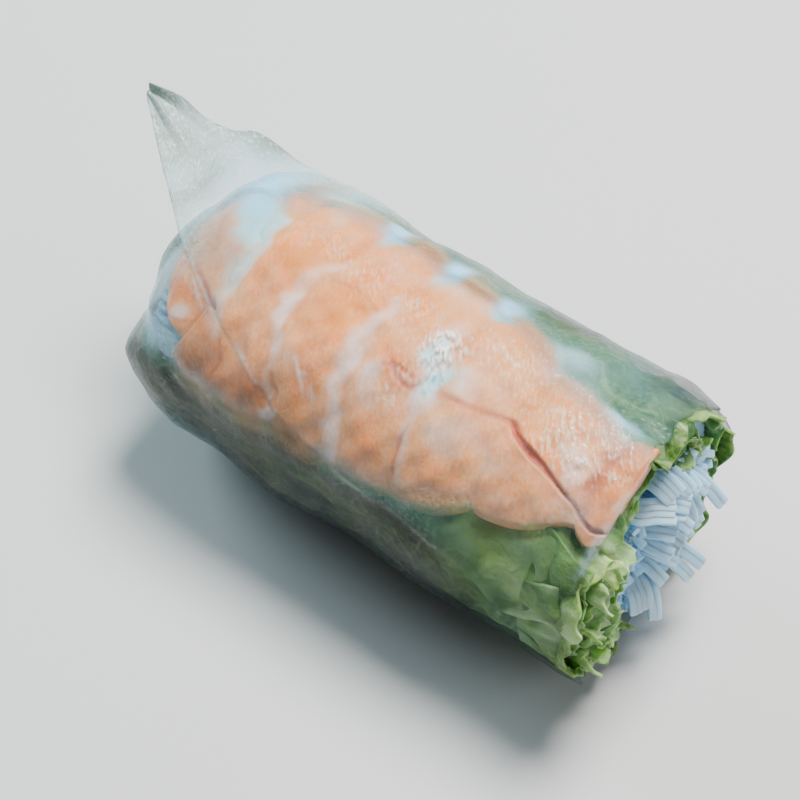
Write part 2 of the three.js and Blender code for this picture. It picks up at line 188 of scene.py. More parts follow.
def ripples(seed, size, places, waves=14):
    """Smooth random heights of about -1 to 1 with humps of about that size."""
    draw = np.random.default_rng(seed)
    total = np.zeros(places.shape[:-1])
    for _ in range(waves):
        wave = draw.normal(size=3)
        wave *= 2 * np.pi / (size * draw.uniform(1.4, 3.0) * np.linalg.norm(wave))
        total += np.cos(places @ wave + draw.uniform(0, 2 * np.pi))
    return total / np.sqrt(waves / 2)


def thin(height, width):
    """1 along the lines where the height crosses 0, and 0 beside them."""
    return np.exp(-((height / width) ** 2))


def turned(degrees, centre):
    """Degrees from the centre, between -180 and 180."""
    return (degrees - centre + 180) % 360 - 180


def band(degrees, centre, begin, full, fade, end):
    """1 from full to fade degrees past the centre, and 0 before begin and after end."""
    past = turned(degrees, centre)
    return smooth(past, begin, full) * smooth(past, end, fade)


def prawn_middle(along):
    return 111.3 - 2 * thin(along - TAIL_X, 2.4)


def prawn_half(along):
    return np.interp(along, PRAWN_X, PRAWN_HALF)


def across_prawn(along, degrees):
    """Place across the opened prawn, from -1 at its back side to 1 at its front side."""
    return turned(degrees, prawn_middle(along)) / prawn_half(along)


def joint_x(number, across):
    x, bow = JOINTS[number]
    return x + bow * np.minimum(across * across, 1.3)


def segment(along, across):
    """Height of the prawn's overlapping segments, from 0 just past a joint to 1."""
    height = np.zeros(np.broadcast(along, across).shape)
    for number in range(len(JOINTS) - 1):
        low, high = joint_x(number, across), joint_x(number + 1, across)
        share = (along - low) / (high - low)
        tile = smooth(share, 0, 0.4) * (1 - 0.85 * smooth(share, 0.78, 1))
        height = np.where((share >= 0) & (share < 1), tile, height)
    return height


def scallop(along):
    """Degrees that the prawn's side stands out at the middle of a segment."""
    joints = np.array([x + bow * 0.9 for x, bow in JOINTS])
    share = np.interp(along, joints, np.arange(len(joints))) % 1
    return 5.0 * (np.sqrt(np.clip(np.sin(share * np.pi), 0, 1)) - 0.6)


def prawn_cover(along, degrees):
    """1 over the prawns and 0 beside them."""
    half = prawn_half(along) + scallop(along)
    across = np.abs(turned(degrees, prawn_middle(along))) / half
    opened = (1 - smooth(across, 0.94, 1.08)) * smooth(along, -22, -18)
    middle, half = (CURL_FIRST + CURL_LAST) / 2, (CURL_LAST - CURL_FIRST) / 2
    around = np.abs(turned(degrees, middle)) / half
    curled = (1 - smooth(around, 0.85, 1.1)) * smooth(along, CURL_X - 1, CURL_X + 2)
    return np.maximum(opened, curled * (1 - smooth(along, -19, -16)))


def seam_gap(along, degrees):
    """Degrees from the film's outer edge: negative where the outer layer lies."""
    return turned(degrees, np.interp(along, SEAM_X, SEAM_DEG))


def film_relief(along, degrees):
    """How far the film stands out over the plain roll, in millimetres."""
    along, degrees = np.broadcast_arrays(np.asarray(along, float), degrees)
    places = skin(along, degrees)
    prawn = prawn_cover(along, degrees)
    joints = 0.16 * (segment(along, across_prawn(along, degrees)) - 0.6)
    beside = -0.42 + 0.30 * ripples(5, 9, places) - 0.12 * np.abs(ripples(6, 4, places))
    soft = 0.10 * ripples(3, 7, places) + 0.04 * ripples(4, 2.4, places)
    gap = seam_gap(along, degrees)
    outer = (1 - smooth(gap, -0.8, 0.8)) * smooth(gap, -170, -90) * smooth(along, -19, -15)
    cap = 1 - smooth(along, -33, -22)
    twist = np.degrees(np.radians(degrees) + 0.035 * (along - SHOULDER_X))
    tucks = sum(size * thin(turned(twist, at), wide) for at, wide, size in TUCKS)
    closed = tucks + 0.45 * ripples(8, 8, places) - 0.3
    loose = smooth(along, CUT_X - 5, CUT_X) * (0.25 * ripples(9, 5, places) - 0.15)
    relief = mix(beside, joints, prawn) + soft + 0.2 * outer + cap * closed + loose
    return relief * smooth(places[..., 2], 0.3, 4)


def under_film(sizes, along, degrees):
    """Depth of the film's inside."""
    return (sizes.film_thickness + sizes.film_ease) / MM - film_relief(along, degrees)


def places_chart(along, degrees):
    """Millimetres along and round the roll, for patterns that are drawn out one way."""
    along, degrees = np.broadcast_arrays(along, degrees)
    return np.stack([along, degrees * ARC, 0 * along], -1)


# Tables of spots hold, for each: along, degrees, half length and half height in millimetres,
# strength, and the tilt of those that are tilted. Tables of lines hold paths of: along, degrees,
# half width in millimetres and strength.


def spots(table, along, degrees):
    total = np.zeros(np.broadcast(along, degrees).shape)
    for x, at, half_length, half_height, strength, *tilt in table:
        u, v = along - x, turned(degrees, at) * ARC
        c, s = np.cos(np.radians(sum(tilt))), np.sin(np.radians(sum(tilt)))
        far = ((c * u + s * v) / half_length) ** 2 + ((c * v - s * u) / half_height) ** 2
        total = 1 - (1 - total) * (1 - strength * np.exp(-far**1.4))
    return total


def lines(table, along, degrees):
    total = np.zeros(np.broadcast(along, degrees).shape)
    for path in table:
        near = np.zeros_like(total)
        for x, at, wide, strength in curve(path, 12 * len(path)):
            far = ((along - x) ** 2 + (turned(degrees, at) * ARC) ** 2) / wide**2
            near = np.maximum(near, np.clip(strength, 0, 1) * np.exp(-far))
        total = 1 - (1 - total) * (1 - near)
    return total


# Closed surfaces --------


def shell(rings, marks, poles=True):
    """A closed surface through rings of points, with a fan or, for a sheet, a strip at each end."""
    rows, sides = rings.shape[:2]
    row, side = np.meshgrid(np.arange(rows - 1), np.arange(sides), indexing="ij")
    first, second = row * sides + side, row * sides + (side + 1) % sides
    quads = np.stack([first, second, second + sides, first + sides], -1).reshape(-1, 4)
    points = rings.reshape(-1, 3)
    values = {name: mark.reshape(rows * sides, -1) for name, mark in marks.items()}
    triangles = np.zeros((0, 3), int)
    if poles:
        ends = ((0, rows * sides, 1), ((rows - 1) * sides, rows * sides + 1, -1))
        around = np.arange(sides)
        fans = [
            np.stack([start + around, np.full(sides, pole), start + (around + 1) % sides], -1)
            for start, pole, _ in ends
        ]
        triangles = np.concatenate([fan[:, ::way] for fan, (_, _, way) in zip(fans, ends)])
        points = np.concatenate([points, rings[[0, -1]].mean(1)])
        values = {
            name: np.concatenate([mark, mark[:sides].mean(0)[None], mark[-sides:].mean(0)[None]])
            for name, mark in values.items()
        }
    else:
        half = np.arange(sides // 2 - 1)
        strip = np.stack([half, sides - 1 - half, sides - 2 - half, half + 1], -1)
        quads = np.concatenate([quads, strip, strip[:, ::-1] + (rows - 1) * sides])
    corners = np.concatenate([quads[:, [0, 1, 2]], quads[:, [0, 2, 3]], triangles])
    a, b, c = (points[corners[:, k]] for k in range(3))
    if (a * np.cross(b, c)).sum() < 0:
        quads, triangles = quads[:, ::-1], triangles[:, ::-1]
    return {
        "points": points, "quads": quads, "triangles": triangles, "marks": values, "crisp": False
    }


def sheet(outside, inside, marks):
    """A closed thin sheet between two grids of points; a mark may be a pair for its two faces."""
    rings = np.concatenate([outside, inside[:, ::-1]], 1)
    both = {}
    for name, mark in marks.items():
        front, back = mark if isinstance(mark, tuple) else (mark, mark)
        both[name] = np.concatenate([front, back[:, ::-1]], 1)
    return shell(rings, both, poles=False)


def strand(path, radii, flat, sides, marks):
    """A closed tube along a path, its section turning as little as it can; flat widens it."""
    ahead = np.gradient(path, axis=0)
    ahead /= np.linalg.norm(ahead, axis=1)[:, None]
    across = np.cross(ahead[0], BROAD_SIDE)
    rings = []
    angle = (np.arange(sides) + 0.5) * 2 * np.pi / sides
    wide, high = (np.sign(part) * np.abs(part) ** 0.45 for part in (np.cos(angle), np.sin(angle)))
    for point, way, radius in zip(path, ahead, radii):
        across = across - way * (across @ way)
        across /= np.linalg.norm(across)
        up = np.cross(way, across)
        rings.append(point + radius * (flat * wide[:, None] * across + high[:, None] * up))
    rings = np.array(rings)
    tube = shell(rings, {name: np.full(rings.shape[:2], value) for name, value in marks.items()})
    return {**tube, "crisp": True}


def curve(points, count):
    """Evenly numbered points on a smooth line through the given ones."""
    knots = np.asarray(points, float)
    knots = np.concatenate([[2 * knots[0] - knots[1]], knots, [2 * knots[-1] - knots[-2]]])
    place = np.linspace(0, len(points) - 1 - 1e-9, count)
    start = place.astype(int)
    share = (place - start)[:, None]
    a, b, c, d = (knots[start + k] for k in range(4))
    return 0.5 * (
        2 * b + (c - a) * share + (2 * a - 5 * b + 4 * c - d) * share**2
        + (3 * b - a - 3 * c + d) * share**3
    )


def make_piece(name, shells, material, node):
    """Makes one mesh object of closed shells, which stands for a solid of the roll."""
    mesh = bpy.data.meshes.new(name)
    offsets = np.cumsum([0] + [len(s["points"]) for s in shells[:-1]])
    points = (np.concatenate([s["points"] for s in shells]) + SHIFT) * MM
    faces = [
        face
        for s, offset in zip(shells, offsets)
        for face in (s["quads"] + offset).tolist() + (s["triangles"] + offset).tolist()
    ]
    mesh.from_pydata(points.tolist(), [], faces)
    for mark in shells[0]["marks"]:
        values = np.concatenate([s["marks"][mark] for s in shells]).astype(np.float32)
        vector = values.shape[1] == 3
        layer = mesh.attributes.new(mark, "FLOAT_VECTOR" if vector else "FLOAT", "POINT")
        layer.data.foreach_set("vector" if vector else "value", values.ravel())
    rounded = [
        np.repeat((True, not s["crisp"]), (len(s["quads"]), len(s["triangles"]))) for s in shells
    ]
    mesh.polygons.foreach_set("use_smooth", np.concatenate(rounded))
    mesh.materials.append(material)
    mesh.update()
    piece = bpy.data.objects.new(name, mesh)
    bpy.context.scene.collection.objects.link(piece)
    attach(piece, "root")
    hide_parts(node)
    return piece


# Finishes --------


class Value:
    """A shader socket. Its sums, differences, products and powers add Math nodes."""

    def __init__(self, finish, socket):
        self.finish, self.socket = finish, socket

    def math(self, operation, first, second):
        return self.finish.node("ShaderNodeMath", {"operation": operation}, {0: first, 1: second})

    def __add__(self, other):
        return self.math("ADD", self, other)

    def __sub__(self, other):
        return self.math("SUBTRACT", self, other)

    def __rsub__(self, other):
        return self.math("SUBTRACT", other, self)

    def __mul__(self, other):
        return self.math("MULTIPLY", self, other)

    def __pow__(self, other):
        return self.math("POWER", self, other)

    __radd__ = __add__
    __rmul__ = __mul__


class Finish:
    """A material under construction."""

    def __init__(self, name):
        self.material = bpy.data.materials.new(name)
        self.material.use_nodes = True
        self.tree = self.material.node_tree
        self.tree.nodes.clear()
        self.place = self.node("ShaderNodeTexCoord", out="Object")

    def node(self, kind, settings=None, sockets=None, out=0):
        """Adds a node with its settings, then the values or links of its sockets."""
        node = self.tree.nodes.new(kind)
        for key, value in (settings or {}).items():
            setattr(node, key, value)
        for key, value in (sockets or {}).items():
            if isinstance(value, Value):
                self.tree.links.new(value.socket, node.inputs[key])
            else:
                node.inputs[key].default_value = value
        return Value(self, node.outputs[out]) if node.outputs else None

    def mark(self, name, out="Fac"):
        return self.node("ShaderNodeAttribute", {"attribute_name": name}, out=out)

    def cloud(self, size, detail=2.0, at=None, out=0):
        """Noise with patches of about that size, in millimetres."""
        scale = 1 / size if at else 1 / (size * MM)
        sockets = {"Vector": at or self.place, "Scale": scale, "Detail": detail}
        return self.node("ShaderNodeTexNoise", {}, sockets, out)

    def askew(self, at, angle, sizes):
        """The places turned and squeezed, so that noise on them is drawn out askew."""
        return self.node(
            "ShaderNodeMapping", {"vector_type": "TEXTURE"},
            {"Vector": at, "Rotation": (0, 0, angle), "Scale": (*sizes, 1)},
        )

    def vector(self, operation, first, second=(0, 0, 0)):
        return self.node("ShaderNodeVectorMath", {"operation": operation}, {0: first, 1: second})

    def glitter(self, normal, size, tilt):
        """The normal tipped a little this way or that from one fine facet to the next."""
        facet = self.node(
            "ShaderNodeTexVoronoi", {}, {"Vector": self.place, "Scale": 1 / (size * MM)}, "Color"
        )
        lean = self.vector("SUBTRACT", facet, (0.5, 0.5, 0.5))
        lean = self.node("ShaderNodeVectorMath", {"operation": "SCALE"}, {0: lean, "Scale": tilt})
        return self.vector("NORMALIZE", self.vector("ADD", normal, lean))

    def cells(self, size, feature="DISTANCE_TO_EDGE", at=None):
        return self.node(
            "ShaderNodeTexVoronoi", {"feature": feature},
            {"Vector": at or self.place, "Scale": 1 / size if at else 1 / (size * MM)},
        )

    def step(self, value, low, high):
        return self.node(
            "ShaderNodeMapRange", {"interpolation_type": "SMOOTHSTEP"},
            {"Value": value, "From Min": low, "From Max": high},
        )

    def paint(self, base, *layers):
        """The base colour with each share of a colour laid over it in turn."""
        for share, tint in layers:
            first, second = (c if isinstance(c, Value) else (*c, 1) for c in (base, tint))
            base = self.node(
                "ShaderNodeMix", {"data_type": "RGBA"}, {0: share, 6: first, 7: second}, 2
            )
        return base

    def bump(self, height, strength, distance):
        sockets = {"Height": height, "Strength": strength, "Distance": distance * MM}
        return self.node("ShaderNodeBump", {}, sockets)

    def principled(self, **sockets):
        named = {
            key.replace("_", " ").title().replace("Ior", "IOR"): value
            for key, value in sockets.items()
        }
        return self.node("ShaderNodeBsdfPrincipled", {}, named)

    def end(self, surface):
        self.node("ShaderNodeOutputMaterial", {}, {"Surface": surface})
        return self.material


# Painted light: the warm tint of highlights along scratches, creases and the seam, and the white of
# painted glints.
LINE_HIGHLIGHT_TINT, PAINTED_SPARKLE_WHITE = (0.85, 0.80, 0.70), (1.0, 0.97, 0.93)
STROKE_LEAN = 1.05   # radians that the strokes on the prawn lean


def film_finish(colours):
    """Wet rice paper: a thin milky veil with a fine sparkle, thicker where layers overlap; its
    colour holds painted shade, sheen, highlights and glints.
    """
    f = Finish("wet_rice_paper")
    grain = f.cloud(0.35, 3.0)
    bumped = f.bump(grain * 0.6 + f.cells(0.75, "F1") * 0.5, 1.0, 0.10)
    normal = f.glitter(bumped, 0.40, 0.40 - 0.28 * f.mark("shade"))
    haze = f.cloud(6.0, 3.0)
    chart = f.mark("chart", "Vector")
    # Painted glints: white, more opaque specks where the sparkle mark lies.
    painted_sparkle = f.cloud(1.0, 2.0, f.askew(chart, STROKE_LEAN, (1.3, 0.5)))
    painted_sparkle = f.mark("painted_sparkle") * f.step(painted_sparkle + (f.mark("painted_sparkle") - 1) * 0.10, 0.48, 0.57)
    painted_scratch_highlight = f.cloud(1.0, 1.0, f.askew(chart, 0.9, (0.16, 6.0)))
    painted_scratch_highlight = f.step(painted_scratch_highlight, 0.70, 0.78) * f.step(f.cloud(5.0, 1.0), 0.5, 0.62)
    line_highlight_and_tint = f.mark("line")
    facing = f.node("ShaderNodeLayerWeight", {}, {"Blend": 0.5}, "Facing")
    milk = f.mark("milk") * (0.70 + haze * 0.6) + 0.22 * painted_scratch_highlight + 0.5 * line_highlight_and_tint + 0.7 * painted_sparkle
    clear = (1 - milk) * (1 - 0.35 * facing ** 3.0)
    shade = f.mark("shade") + (haze - 0.5) * 0.25
    # The film's colour, with painted shade low on the front, painted bluish sheen, painted
    # highlights along lines and painted glints laid over it.
    tint = f.paint(
        colours.film,
        (f.step(shade, 0.05, 0.5), colours.film_shade),
        (f.step(shade, 0.55, 0.95), colours.film_painted_shade),
        (f.mark("pearl_and_sheen") * (0.6 + haze * 0.6), colours.film_painted_sheen),
        (f.mark("lime"), colours.film_lime),
        (f.mark("blush"), colours.film_blush),
        (painted_scratch_highlight * 0.8 + line_highlight_and_tint, LINE_HIGHLIGHT_TINT),
        (painted_sparkle, PAINTED_SPARKLE_WHITE),
    )
    wet = f.principled(base_color=tint, roughness=0.14 + 0.22 * grain, ior=1.43, normal=normal)
    through = f.node("ShaderNodeBsdfTransparent", {}, {"Color": (0.97, 0.99, 0.98, 1)})
    return f.end(f.node("ShaderNodeMixShader", {}, {0: 1 - clear, 1: through, 2: wet}))


def prawn_finish(colours):
    """Cooked prawn: orange skin between white joints, red lines, fine fibres and wet strokes, with
    painted glints, painted bluish sheen and painted shade low on its front.
    """
    f = Finish("cooked_prawn")
    chart = f.mark("chart", "Vector")
    fibres = f.cloud(1.0, 3.0, f.vector("MULTIPLY", chart, (1 / 0.35, 1 / 2.2, 1)))
    blotch, mottle, fine = f.cloud(2.4, 2.0), f.cloud(1.1, 1.5), f.cloud(0.5, 2.0)
    warped = f.vector("ADD", chart, f.cloud(1 / 0.9, 2.0, chart, "Color"))
    net = 1 - f.step(f.cells(1.5, at=warped), 0.0, 0.09)
    orange, gleaming = f.mark("orange"), f.mark("gleam")
    depth = orange + (blotch - 0.5) * 0.7 + (mottle - 0.5) * 0.4 + (fibres - 0.5) * 0.3
    pores = f.cloud(0.45, 3.0, f.askew(chart, STROKE_LEAN, (1.4, 0.7)))
    scales = f.cloud(1.0, 2.0, f.askew(chart, STROKE_LEAN, (1.3, 0.55)))
    stroke = f.cloud(1.0, 3.0, f.askew(chart, STROKE_LEAN, (1.3, 0.5)))
    # Where the skin gleams it is glossier, and glint strokes are painted on it as highlights.
    gleam = f.step(stroke + (mottle - 0.5) * 0.4 + (gleaming - 1) * 0.12, 0.49, 0.62) * gleaming
    tint = f.paint(
        colours.flesh,
        (f.step(depth, -0.1, 1.0), colours.orange),
        (f.step(f.cloud(4.5, 2.0), 0.48, 0.66) * 0.40, colours.pink),
        (f.step(f.cloud(3.5, 2.0), 0.50, 0.66) * 0.30, colours.beige),
        # Brown marks, and painted shade low on the front side.
        (f.mark("brown_and_shade") * (0.6 + 0.6 * blotch), colours.brown_and_shade),
        (net * orange * f.step(blotch, 0.4, 0.65) * 0.22, colours.red),
        (f.step(fine, 0.52, 0.72) * 0.20 * (1 - 0.5 * orange), colours.white),
        (f.step(pores, 0.48, 0.70) * 0.20, colours.brown_and_shade),
        # Orange strokes, and strokes of glint colour that are painted highlights, strongest where
        # the skin gleams.
        ((1 - f.step(scales, 0.34, 0.48)) * (0.12 + 0.22 * gleaming), colours.orange),
        (f.step(scales, 0.50, 0.64) * (0.08 + 0.46 * gleaming), colours.painted_glint),
        (f.step(f.mark("white") + (blotch - 0.5) * 0.3 + (mottle - 0.5) * 0.15, 0.05, 1.0) * 0.9,
         colours.white),
        (f.mark("yellow") * (0.75 + 0.8 * (blotch - 0.3)), colours.yellow),
        # Pearly flesh and painted bluish sheen.
        (f.step(f.mark("pearl_and_sheen") + (blotch - 0.5) * 0.25, 0.1, 1.0), colours.pearl_and_sheen),
        (f.mark("red") * (0.7 + fine * 0.5), colours.red),
        # Painted glint strokes.
        (gleam * 0.65, colours.painted_glint),
    )
    height = fibres * 0.6 + fine * 0.4 + gleaming * stroke * 2.2
    normal = f.glitter(f.bump(height, 0.5, 0.08), 0.40, 0.12 + 0.4 * gleam)
    return f.end(f.principled(
        base_color=tint, roughness=0.56 - 0.46 * gleam, ior=1.5, normal=normal,
        subsurface_weight=0.2, subsurface_radius=(1.0, 0.35, 0.2), subsurface_scale=1.0 * MM,
    ))


def leaf_finish(colours):
    """Fresh lettuce: pale ribs, yellow-green blade and darker patches, with painted shade on the
    leaf low on the front.
    """
    f = Finish("fresh_lettuce")
    fine = f.cloud(0.8, 4.0)
    tone = f.mark("tone") + (f.cloud(5.0, 4.0) - 0.5) * 0.8
    veins = 1 - f.step(f.cells(1.3), 0.0, 0.12)
    blade = f.paint(
        colours.leaf_pale,
        (f.step(tone, -0.1, 0.55), colours.leaf_green),
        # Dark leaf, which also paints shade on the front leaf.
        (f.step(tone, 0.6, 1.1), colours.dark_leaf_and_shade),
        (f.mark("yellow") * f.step(fine, 0.3, 0.65), colours.leaf_yellow),
        (f.mark("rib") * 0.8 + veins * 0.08, colours.leaf_pale),
    )
    normal = f.bump(fine * 0.5 + f.mark("rib") * 0.6 - veins * 0.12, 0.6, 0.3)
    return f.end(f.principled(
        base_color=blade, roughness=0.42 + fine * 0.25, ior=1.38, normal=normal,
        subsurface_weight=0.45, subsurface_radius=(0.6, 1.0, 0.35), subsurface_scale=1.4 * MM,
    ))


def noodle_finish(colours):
    """Boiled rice noodles: bluish white, moist and half translucent."""
    f = Finish("boiled_rice_noodle")
    soft, fine = f.cloud(2.5, 2.0), f.cloud(0.3, 2.0)
    paler = [mix(c, 1.0, 0.16) for c in colours.noodle]
    tint = f.paint(colours.noodle, (f.step(soft + f.mark("pale") * 0.4, 0.4, 0.9), paler))
    return f.end(f.principled(
        base_color=tint, roughness=0.28 + fine * 0.15, normal=f.bump(fine + soft, 0.2, 0.1),
        subsurface_weight=0.6, subsurface_radius=(0.7, 0.9, 1.0), subsurface_scale=1.6 * MM,
        coat_weight=0.2,
    ))


# Rice paper --------

FILM_COLUMNS = 264
CAP_ROWS, BODY_ROWS = 62, 134   # rows of its outside, over the closed end and along the roll
# The seam's bright line is a painted highlight along the step of the film's edge.
SEAM_LINE = 0.9      # half width in degrees of the bright line along the film's outer edge

# Fine scratches and creases in the film, drawn as painted highlights
FILM_LINES = (
    ((-11, 136, 0.28, 0.2), (-8.5, 139.5, 0.3, 0.8), (-5.5, 145, 0.28, 0.3)),
    ((-1.5, 128, 0.26, 0.4), (0.5, 133, 0.28, 0.8), (2.5, 140, 0.26, 0.2)),
    ((2.6, 134, 0.26, 0.5), (4.2, 141, 0.26, 0.3)),
    ((-21, 124, 0.3, 0.5), (-19.5, 128, 0.3, 0.6), (-17.5, 131.5, 0.28, 0.2)),
)
# Milky places, places of painted bluish sheen, ones stained by leaf, and ones where prawn or pale
# leaf shows
CLOUDS = (
    (-27, 72, 7, 5.5, 0.75), (-30, 118, 5, 9, 0.2), (29.5, 73, 3.4, 2.6, 0.5, 8),
    (40.5, 87.5, 2.8, 0.9, 0.5), (20, 64, 5, 1.4, 0.22), (-27, 150, 5, 4, 0.3),
    (-25.4, 109, 5.2, 5, 1), (-18.6, 98, 1.6, 5.5, 0.3), (44.4, 135, 0.8, 3.4, 0.8),
    (-3.6, 62, 2, 3.2, 0.5), (7.4, 64, 1.8, 3, 0.35), (17.4, 67, 1.8, 3.2, 0.35),
    (-21.5, 87, 3.4, 3, 0.5),
)
SHEEN = (
    (-27, 69, 8, 7, 1), (-21.5, 87, 4, 3.4, 1), (-3.6, 62, 2.2, 3.4, 1), (7.4, 64, 2, 3.2, 1),
    (17.4, 67, 2, 3.4, 1), (30, 72, 4, 2.6, 0.13, 8), (40.5, 87.5, 2.8, 0.9, 0.3),
    (39, 63, 7, 6, 0.13), (-25, 150, 4, 4, 0.5), (-18.6, 98, 1.6, 5.5, 0.7),
)
STAINS = (
    (-26, 108, 5, 5, 0.55), (-33, 118, 5, 7, 0.5), (-28, 170, 8, 7, 0.7),
)
BLUSHES = (
    (-24, 110, 3.6, 4.6, 0.45), (-26, 101, 3, 4, 0.45), (-18, 62, 2.2, 6, 0.75),
    (-8.5, 61, 2, 5, 0.55), (10.5, 57, 2.4, 2.4, 0.3), (-15, 157, 4.5, 2.8, 0.5),
    (-6, 157.5, 4.4, 2.6, 0.5), (3, 158, 3.6, 1.8, 0.35),
)
LOBES = (
    (29, 142, 2.4, 1.5, 0.6, -20), (24, 147.5, 2.6, 1.2, 0.4, -10), (38.5, 138, 2.2, 1.8, 0.8, 20),
)
# Places of painted glints, and the brown streak at the closed end
PAINTED_SPARKLE_SPOTS = (
    (15.4, 98, 3.2, 3.6, 1), (16.8, 110, 1.8, 2.6, 0.75), (36, 101, 4.5, 5, 0.3, -20),
    (38.4, 109, 1.8, 2.6, 0.5), (24, 87, 5.5, 4, 0.3), (41.8, 100, 2.2, 4, 0.4),
    (-8, 86, 5, 3, 0.3), (9, 90, 4, 3, 0.35), (0.5, 90, 4, 3, 0.3), (12, 124, 3.4, 2.4, 0.35),
    (12.5, 112, 2.6, 1.8, 0.4),
)
STREAKS = (
    ((-30, 90, 0.9, 0.5), (-26, 93.5, 1.2, 0.9), (-23.2, 98.5, 1.4, 1), (-21.4, 105, 1.2, 1),
     (-20.6, 111, 0.9, 0.5)),
)


def film_marks(along, degrees):
    """How much the film veils what lies below it, how far the leaf stains it and painted shade
    darkens it, its creases, and its painted highlights, sheen and glints.
    """
    places = skin(along, degrees)
    side = np.abs(across_prawn(along, degrees))
    prawn = prawn_cover(along, degrees) * (1 - 0.85 * smooth(side, 0.66, 1.04))
    clouds, sheen, lobes, streaks = (
        draw(table, along, degrees)
        for draw, table in ((spots, CLOUDS), (spots, SHEEN), (spots, LOBES), (lines, STREAKS))
    )
    # Painted highlight along the film's outer edge.
    seam = thin(seam_gap(along, degrees), SEAM_LINE) * smooth(along, -16, -8)
    seam = np.clip(seam * (0.5 + 0.5 * ripples(17, 3, places)), 0, 1)
    front = band(degrees, LOW_FRONT, -34, -20, 120, 150)
    near_cut = smooth(along, 24, 37) * band(degrees, LOW_FRONT, -64, -46, 120, 150)
    near_cut = near_cut * (1 - 0.4 * smooth(turned(degrees, LOW_FRONT), -4, 14))
    back_rim = band(degrees, 20, -55, -35, 10, 30) * smooth(along, -20, 0)
    creases = 0.10 * thin(ripples(19, 7, places), 0.05) * (1 - prawn)

    # Prawn shows softly through the film for some way past its sides
    beyond = np.abs(turned(degrees, prawn_middle(along))) - prawn_half(along) - scallop(along) + 5.5
    beyond = beyond * ARC + 0.3 * ripples(21, 4, places)
    blurred = thin(beyond, 1.9) * smooth(along, -20, -15) * (1 - 0.7 * smooth(along, 40, 43))
    blush = blurred * smooth(-beyond, -1.6, 1.2) * (1 - sheen) * (1 - smooth(degrees, 148, 157))
    blush = blush * (1 - 0.8 * smooth(along, -14, -18))
    inside = 0.75 * prawn * (1 - smooth(side, 0.5, 0.9)) * (1 - sheen)
    inside = inside * (1 - 0.8 * smooth(degrees, 108, 126))
    blush = np.max([blush, 0.9 * streaks, inside, spots(BLUSHES, along, degrees)], axis=0)

    veil = mix(0.46, 0.05, prawn) + 0.20 * (1 - smooth(along, -34, -26)) + 0.5 * clouds
    # Low on the front the veil thickens, so that the painted shade colour covers more of what lies
    # below.
    veil = veil + 0.10 * front * (1 - near_cut) - 0.56 * near_cut
    veil = np.maximum(veil + 0.06 * ripples(18, 5, places) * (1 - prawn), 0.03)
    veil = veil + 0.40 * blurred + 0.5 * lobes + 0.06 * back_rim + creases + 0.10 * seam

    # Painted shade: low on the front the shade mark rises to 1 and tints the film its darkest
    # colour, less so near the cut.
    low = band(degrees, LOW_FRONT, -32, -18, 110, 178) * smooth(along, -27, -16)
    left = (1 - smooth(along, -18, -6)) * band(degrees, 130, -180, -130, 18, 45)
    shade = 0.5 - prawn * 0.35 - 0.45 * left + 0.55 * low * (1 - 0.5 * near_cut)
    shade = shade * (1 - 0.8 * clouds) + 0.8 * spots(STAINS, along, degrees)
    shade = shade + 0.3 * smooth(along, 5, 25) * band(degrees, 60, -175, -110, -10, 12)
    shade = shade + 0.25 * smooth(along, 34, 40) * band(degrees, 55, -60, -40, 20, 30)
    return {
        "milk": np.clip(veil, 0.03, 0.9),
        "shade": np.clip(shade + 0.06 * ripples(20, 6, places), 0, 1),
        "line": np.clip(lines(FILM_LINES, along, degrees) + 0.18 * seam, 0, 1),
        "pearl_and_sheen": sheen, "blush": blush, "lime": lobes,
        "painted_sparkle": spots(PAINTED_SPARKLE_SPOTS, along, degrees), "chart": places_chart(along, degrees),
    }


def film_shell(sizes):
    """The film's outside from the closed end to the cut, round its rim and back inside."""
    degrees = np.arange(FILM_COLUMNS) * 360 / FILM_COLUMNS
    first, rim_x = POLE_X + 0.35, CUT_X + 0.1
    along = np.concatenate([
        np.linspace(first, SHOULDER_X, CAP_ROWS), np.linspace(SHOULDER_X, CUT_X, BODY_ROWS)[1:],
        [rim_x, rim_x],
        np.linspace(CUT_X, SHOULDER_X, 44), np.linspace(SHOULDER_X, first, 26)[1:],
    ])[:, None]
    outer = CAP_ROWS + BODY_ROWS - 1
    level = np.ones(len(along))
    level[:outer] = 0
    level[outer:outer + 2] = 0.25, 0.75
    level = level[:, None]
    rim = skin(CUT_X, degrees)
    ragged = 0.35 * ripples(11, 3.2, rim) + 0.25 * ripples(12, 1.4, rim)
    ragged = ragged + 0.9 * thin(turned(degrees, 214), 16) * (1 + ripples(13, 2.5, rim))
    place = along + ragged * smooth(along, CUT_X - 5, CUT_X)
    along = np.minimum(along, CUT_X)
    relief = film_relief(along, degrees)
    rings = skin(place, degrees, level * sizes.film_thickness / MM - relief)
    marks = film_marks(along, degrees)
    marks["milk"] = np.where(level > 0.9, 0.03, marks["milk"])
    return shell(rings, marks)


# Edges of the ear from over the roll to its tip, behind and in front, with Z from the floor
EAR_ROOT_X = -12
EAR_BACK = ((EAR_ROOT_X, 16.3, 34.4), (-20, 16.4, 34.6), (-31, 15, 35.7), (-40, 11.6, 38.2),
            (EAR_TIP_X, 8.4, 42.2))
EAR_FRONT = ((EAR_ROOT_X, -14.3, 36.2), (-20, -10.5, 39.5), (-27, -7.5, 39.9), (-38, -0.4, 39.6),
             (EAR_TIP_X, 7.4, 42.2))
EAR_ARCH = 6.2


